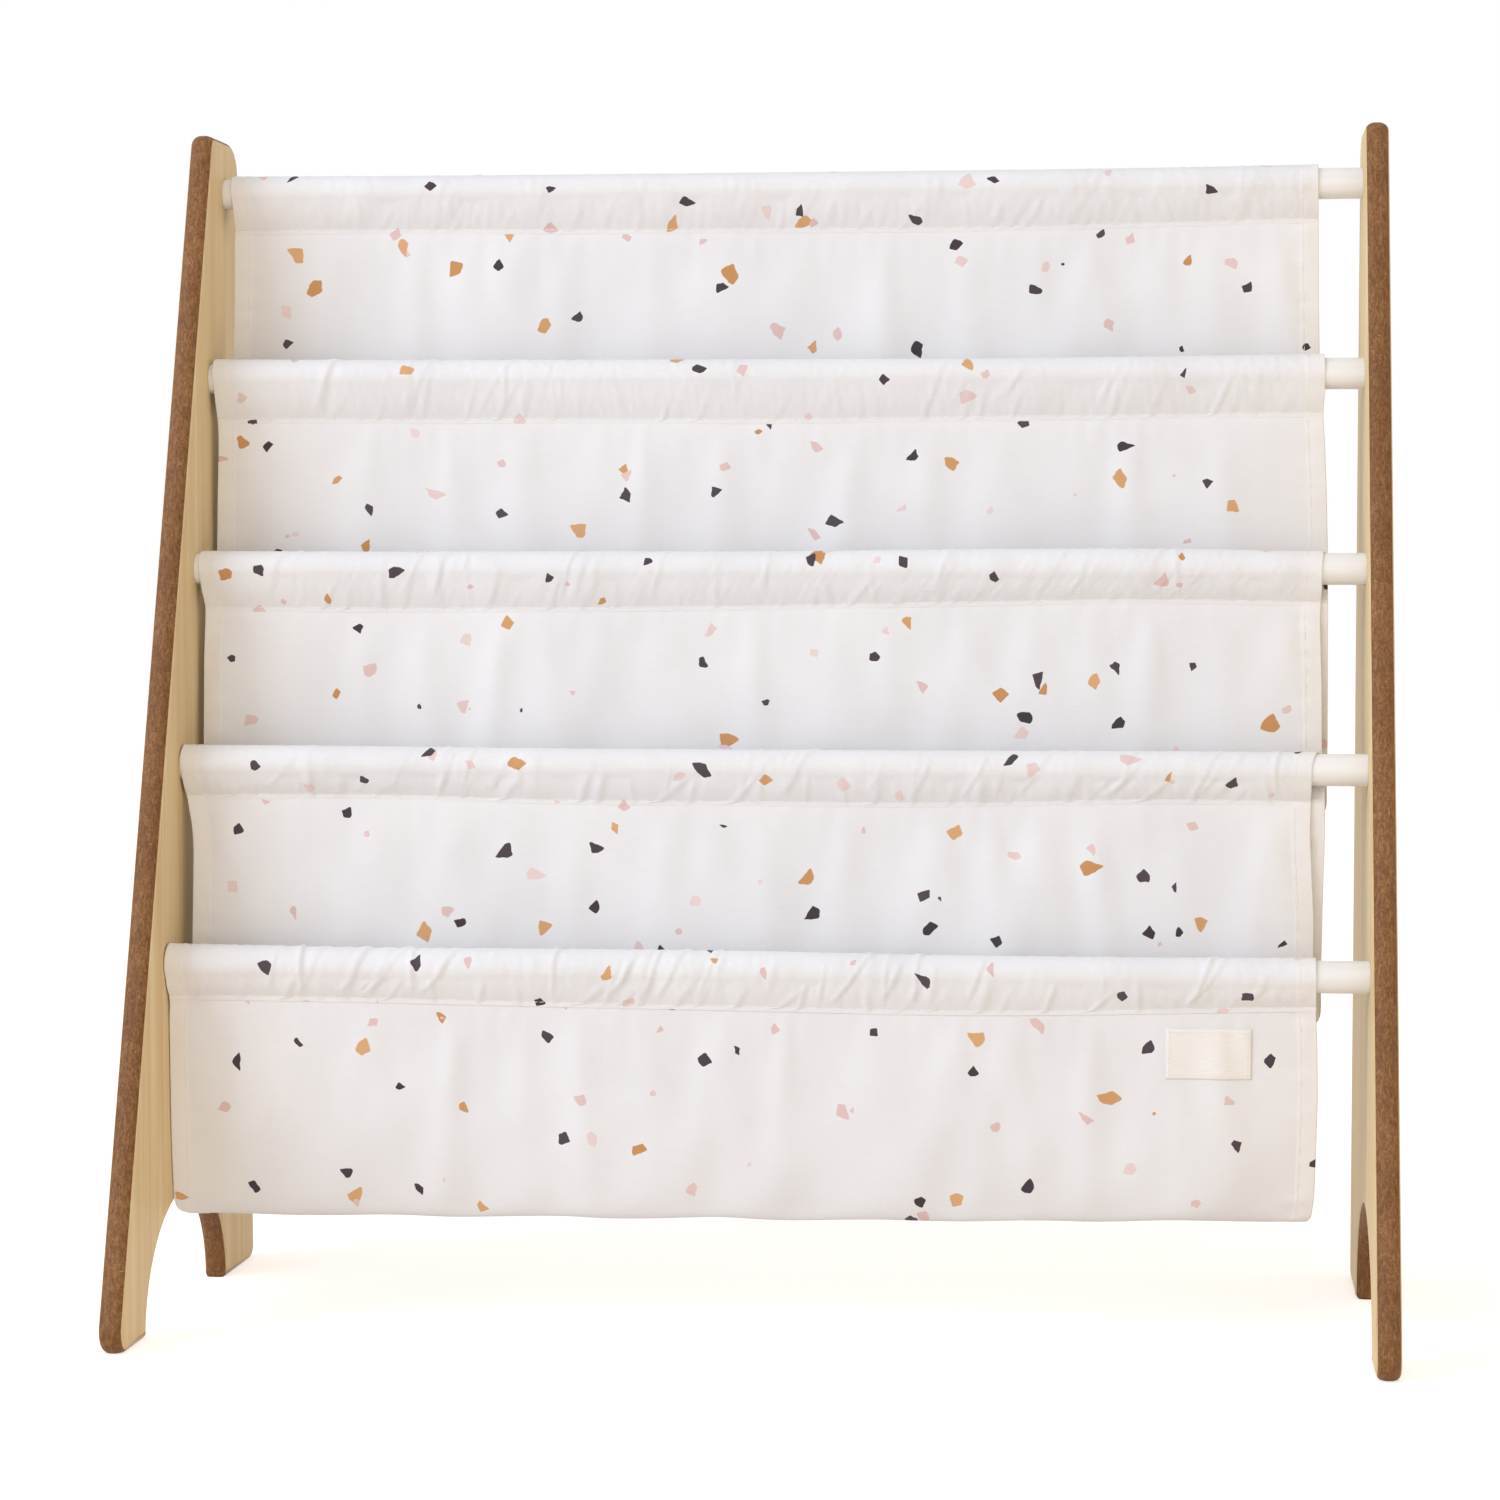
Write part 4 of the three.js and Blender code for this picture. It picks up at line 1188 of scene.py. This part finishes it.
def make_label():
    """The sewn label, bare, lying on the front of the lowest pocket."""
    level = RAIL_COUNT - 2
    scale, _, _, _, low_z = hang(level)
    low, high = (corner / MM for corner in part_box("blank_label"))
    across = np.linspace(low.x, high.x, 43)[None, :]
    height = np.linspace(low.z, high.z, 26)[:, None]
    s = np.sqrt((height - low_z + scale) ** 2 - scale * scale) + 0 * across
    left, right = pocket_edges(level, height, s)
    x = (across - left) / (right - left) * CLOTH_WIDTH
    cloth = on_surface(level, "pocket", x, s, -(CLOTH_THICKNESS / 2 + LABEL_THICKNESS / 2 + LABEL_GAP))
    points = grid(across, cloth[..., 1], height)
    mesh = cloth_mesh("sewn_label", points, np.full(points.shape[:2], LABEL_THICKNESS), grid(across, height))
    label = piece("sewn_label", mesh, LABEL, "sling")
    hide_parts("blank_label")
    inner = points[LABEL_STITCH_INSET:-LABEL_STITCH_INSET, LABEL_STITCH_INSET:-LABEL_STITCH_INSET]
    inner = inner - np.array((0, LABEL_THICKNESS / 2 + 0.03, 0))
    lines = [inner[0], inner[:, -1], inner[-1, ::-1], inner[::-1, 0]]
    stitches = sewn("label_stitches", lines, LABEL_STITCH_SEED, LABEL_STITCH_PITCH, LABEL_STITCH_LENGTH)


make_label()


# Floor, background and light. Lengths are in metres here, and the lamps' power is in watts.

WHITE = (1, 1, 1, 1)
FLOOR_HALF = 8
FLOOR_GLOW = 0.56
SKY_STRENGTH = 0.72
SKY_LEAN = (-0.8, 0, 0.6)


def seen_plainly(tree):
    """1 for rays that come from the camera, straight or by a reflection, and all kinds of rays."""
    paths = add(tree, "ShaderNodeLightPath").outputs
    return calc(tree, "MAXIMUM", paths["Is Camera Ray"], paths["Is Glossy Ray"]), paths


def make_floor():
    """A plain pale floor that the camera sees as white wherever no shadow falls."""
    mesh = bpy.data.meshes.new("studio_floor")
    corners = [(x * FLOOR_HALF, y * FLOOR_HALF, 0) for x, y in ((-1, -1), (1, -1), (1, 1), (-1, 1))]
    mesh.from_pydata(corners, [], [(0, 1, 2, 3)])
    floor = linked("studio_floor", mesh)
    material = bpy.data.materials.new("pale_floor")
    material.use_nodes = True
    tree = material.node_tree
    tree.nodes.clear()
    glow = calc(tree, "MULTIPLY", seen_plainly(tree)[0], FLOOR_GLOW)
    lit = out(tree, "ShaderNodeBsdfDiffuse", {"Color": linear("#EDE4DA")})
    light = out(tree, "ShaderNodeEmission", {"Color": WHITE, "Strength": glow})
    add(tree, "ShaderNodeOutputMaterial", {"Surface": out(tree, "ShaderNodeAddShader", {0: lit, 1: light})})
    mesh.materials.append(material)


def make_world():
    """Soft light, cool from the upper left and warm from the lower right, and plain white for the camera."""
    world = bpy.data.worlds.new("studio")
    bpy.context.scene.world = world
    world.use_nodes = True
    tree = world.node_tree
    tree.nodes.clear()
    seen, paths = seen_plainly(tree)
    shown = calc(tree, "MAXIMUM", seen, paths["Is Transmission Ray"])
    direction = add(tree, "ShaderNodeTexCoord").outputs["Generated"]
    slope = add(tree, "ShaderNodeVectorMath", {0: direction, 1: SKY_LEAN}, operation="DOT_PRODUCT").outputs["Value"]
    share = fitted(tree, slope, (0, 1), (-1, 1))
    tint = tones(tree, share, (0.08, "#CFAE84"), (0.4, "#FDF9F5"), (0.85, "#F7FAFF"))
    inputs = {"Color": blend(tree, shown, tint, WHITE), "Strength": fitted(tree, shown, (SKY_STRENGTH, 1))}
    add(tree, "ShaderNodeOutputWorld", {"Surface": out(tree, "ShaderNodeBackground", inputs)})


def lamp(name, place, target, size, power, colour):
    """A square lamp that faces a target."""
    data = bpy.data.lights.new(name, "AREA")
    data.size = size
    data.energy = power
    data.color = linear(colour)[:3]
    made = linked(name, data)
    made.location = place
    made.rotation_euler = (Vector(target) - Vector(place)).to_track_quat("-Z", "Y").to_euler()


make_floor()
make_world()
lamp("key", (-2.4, -1.9, 1.7), (0, 0, 0.3), 2.2, 46, "#E5EDFF")
lamp("fill", (0.5, -2.8, 0.8), (0, 0, 0.3), 1.8, 13.5, "#FFECD5")
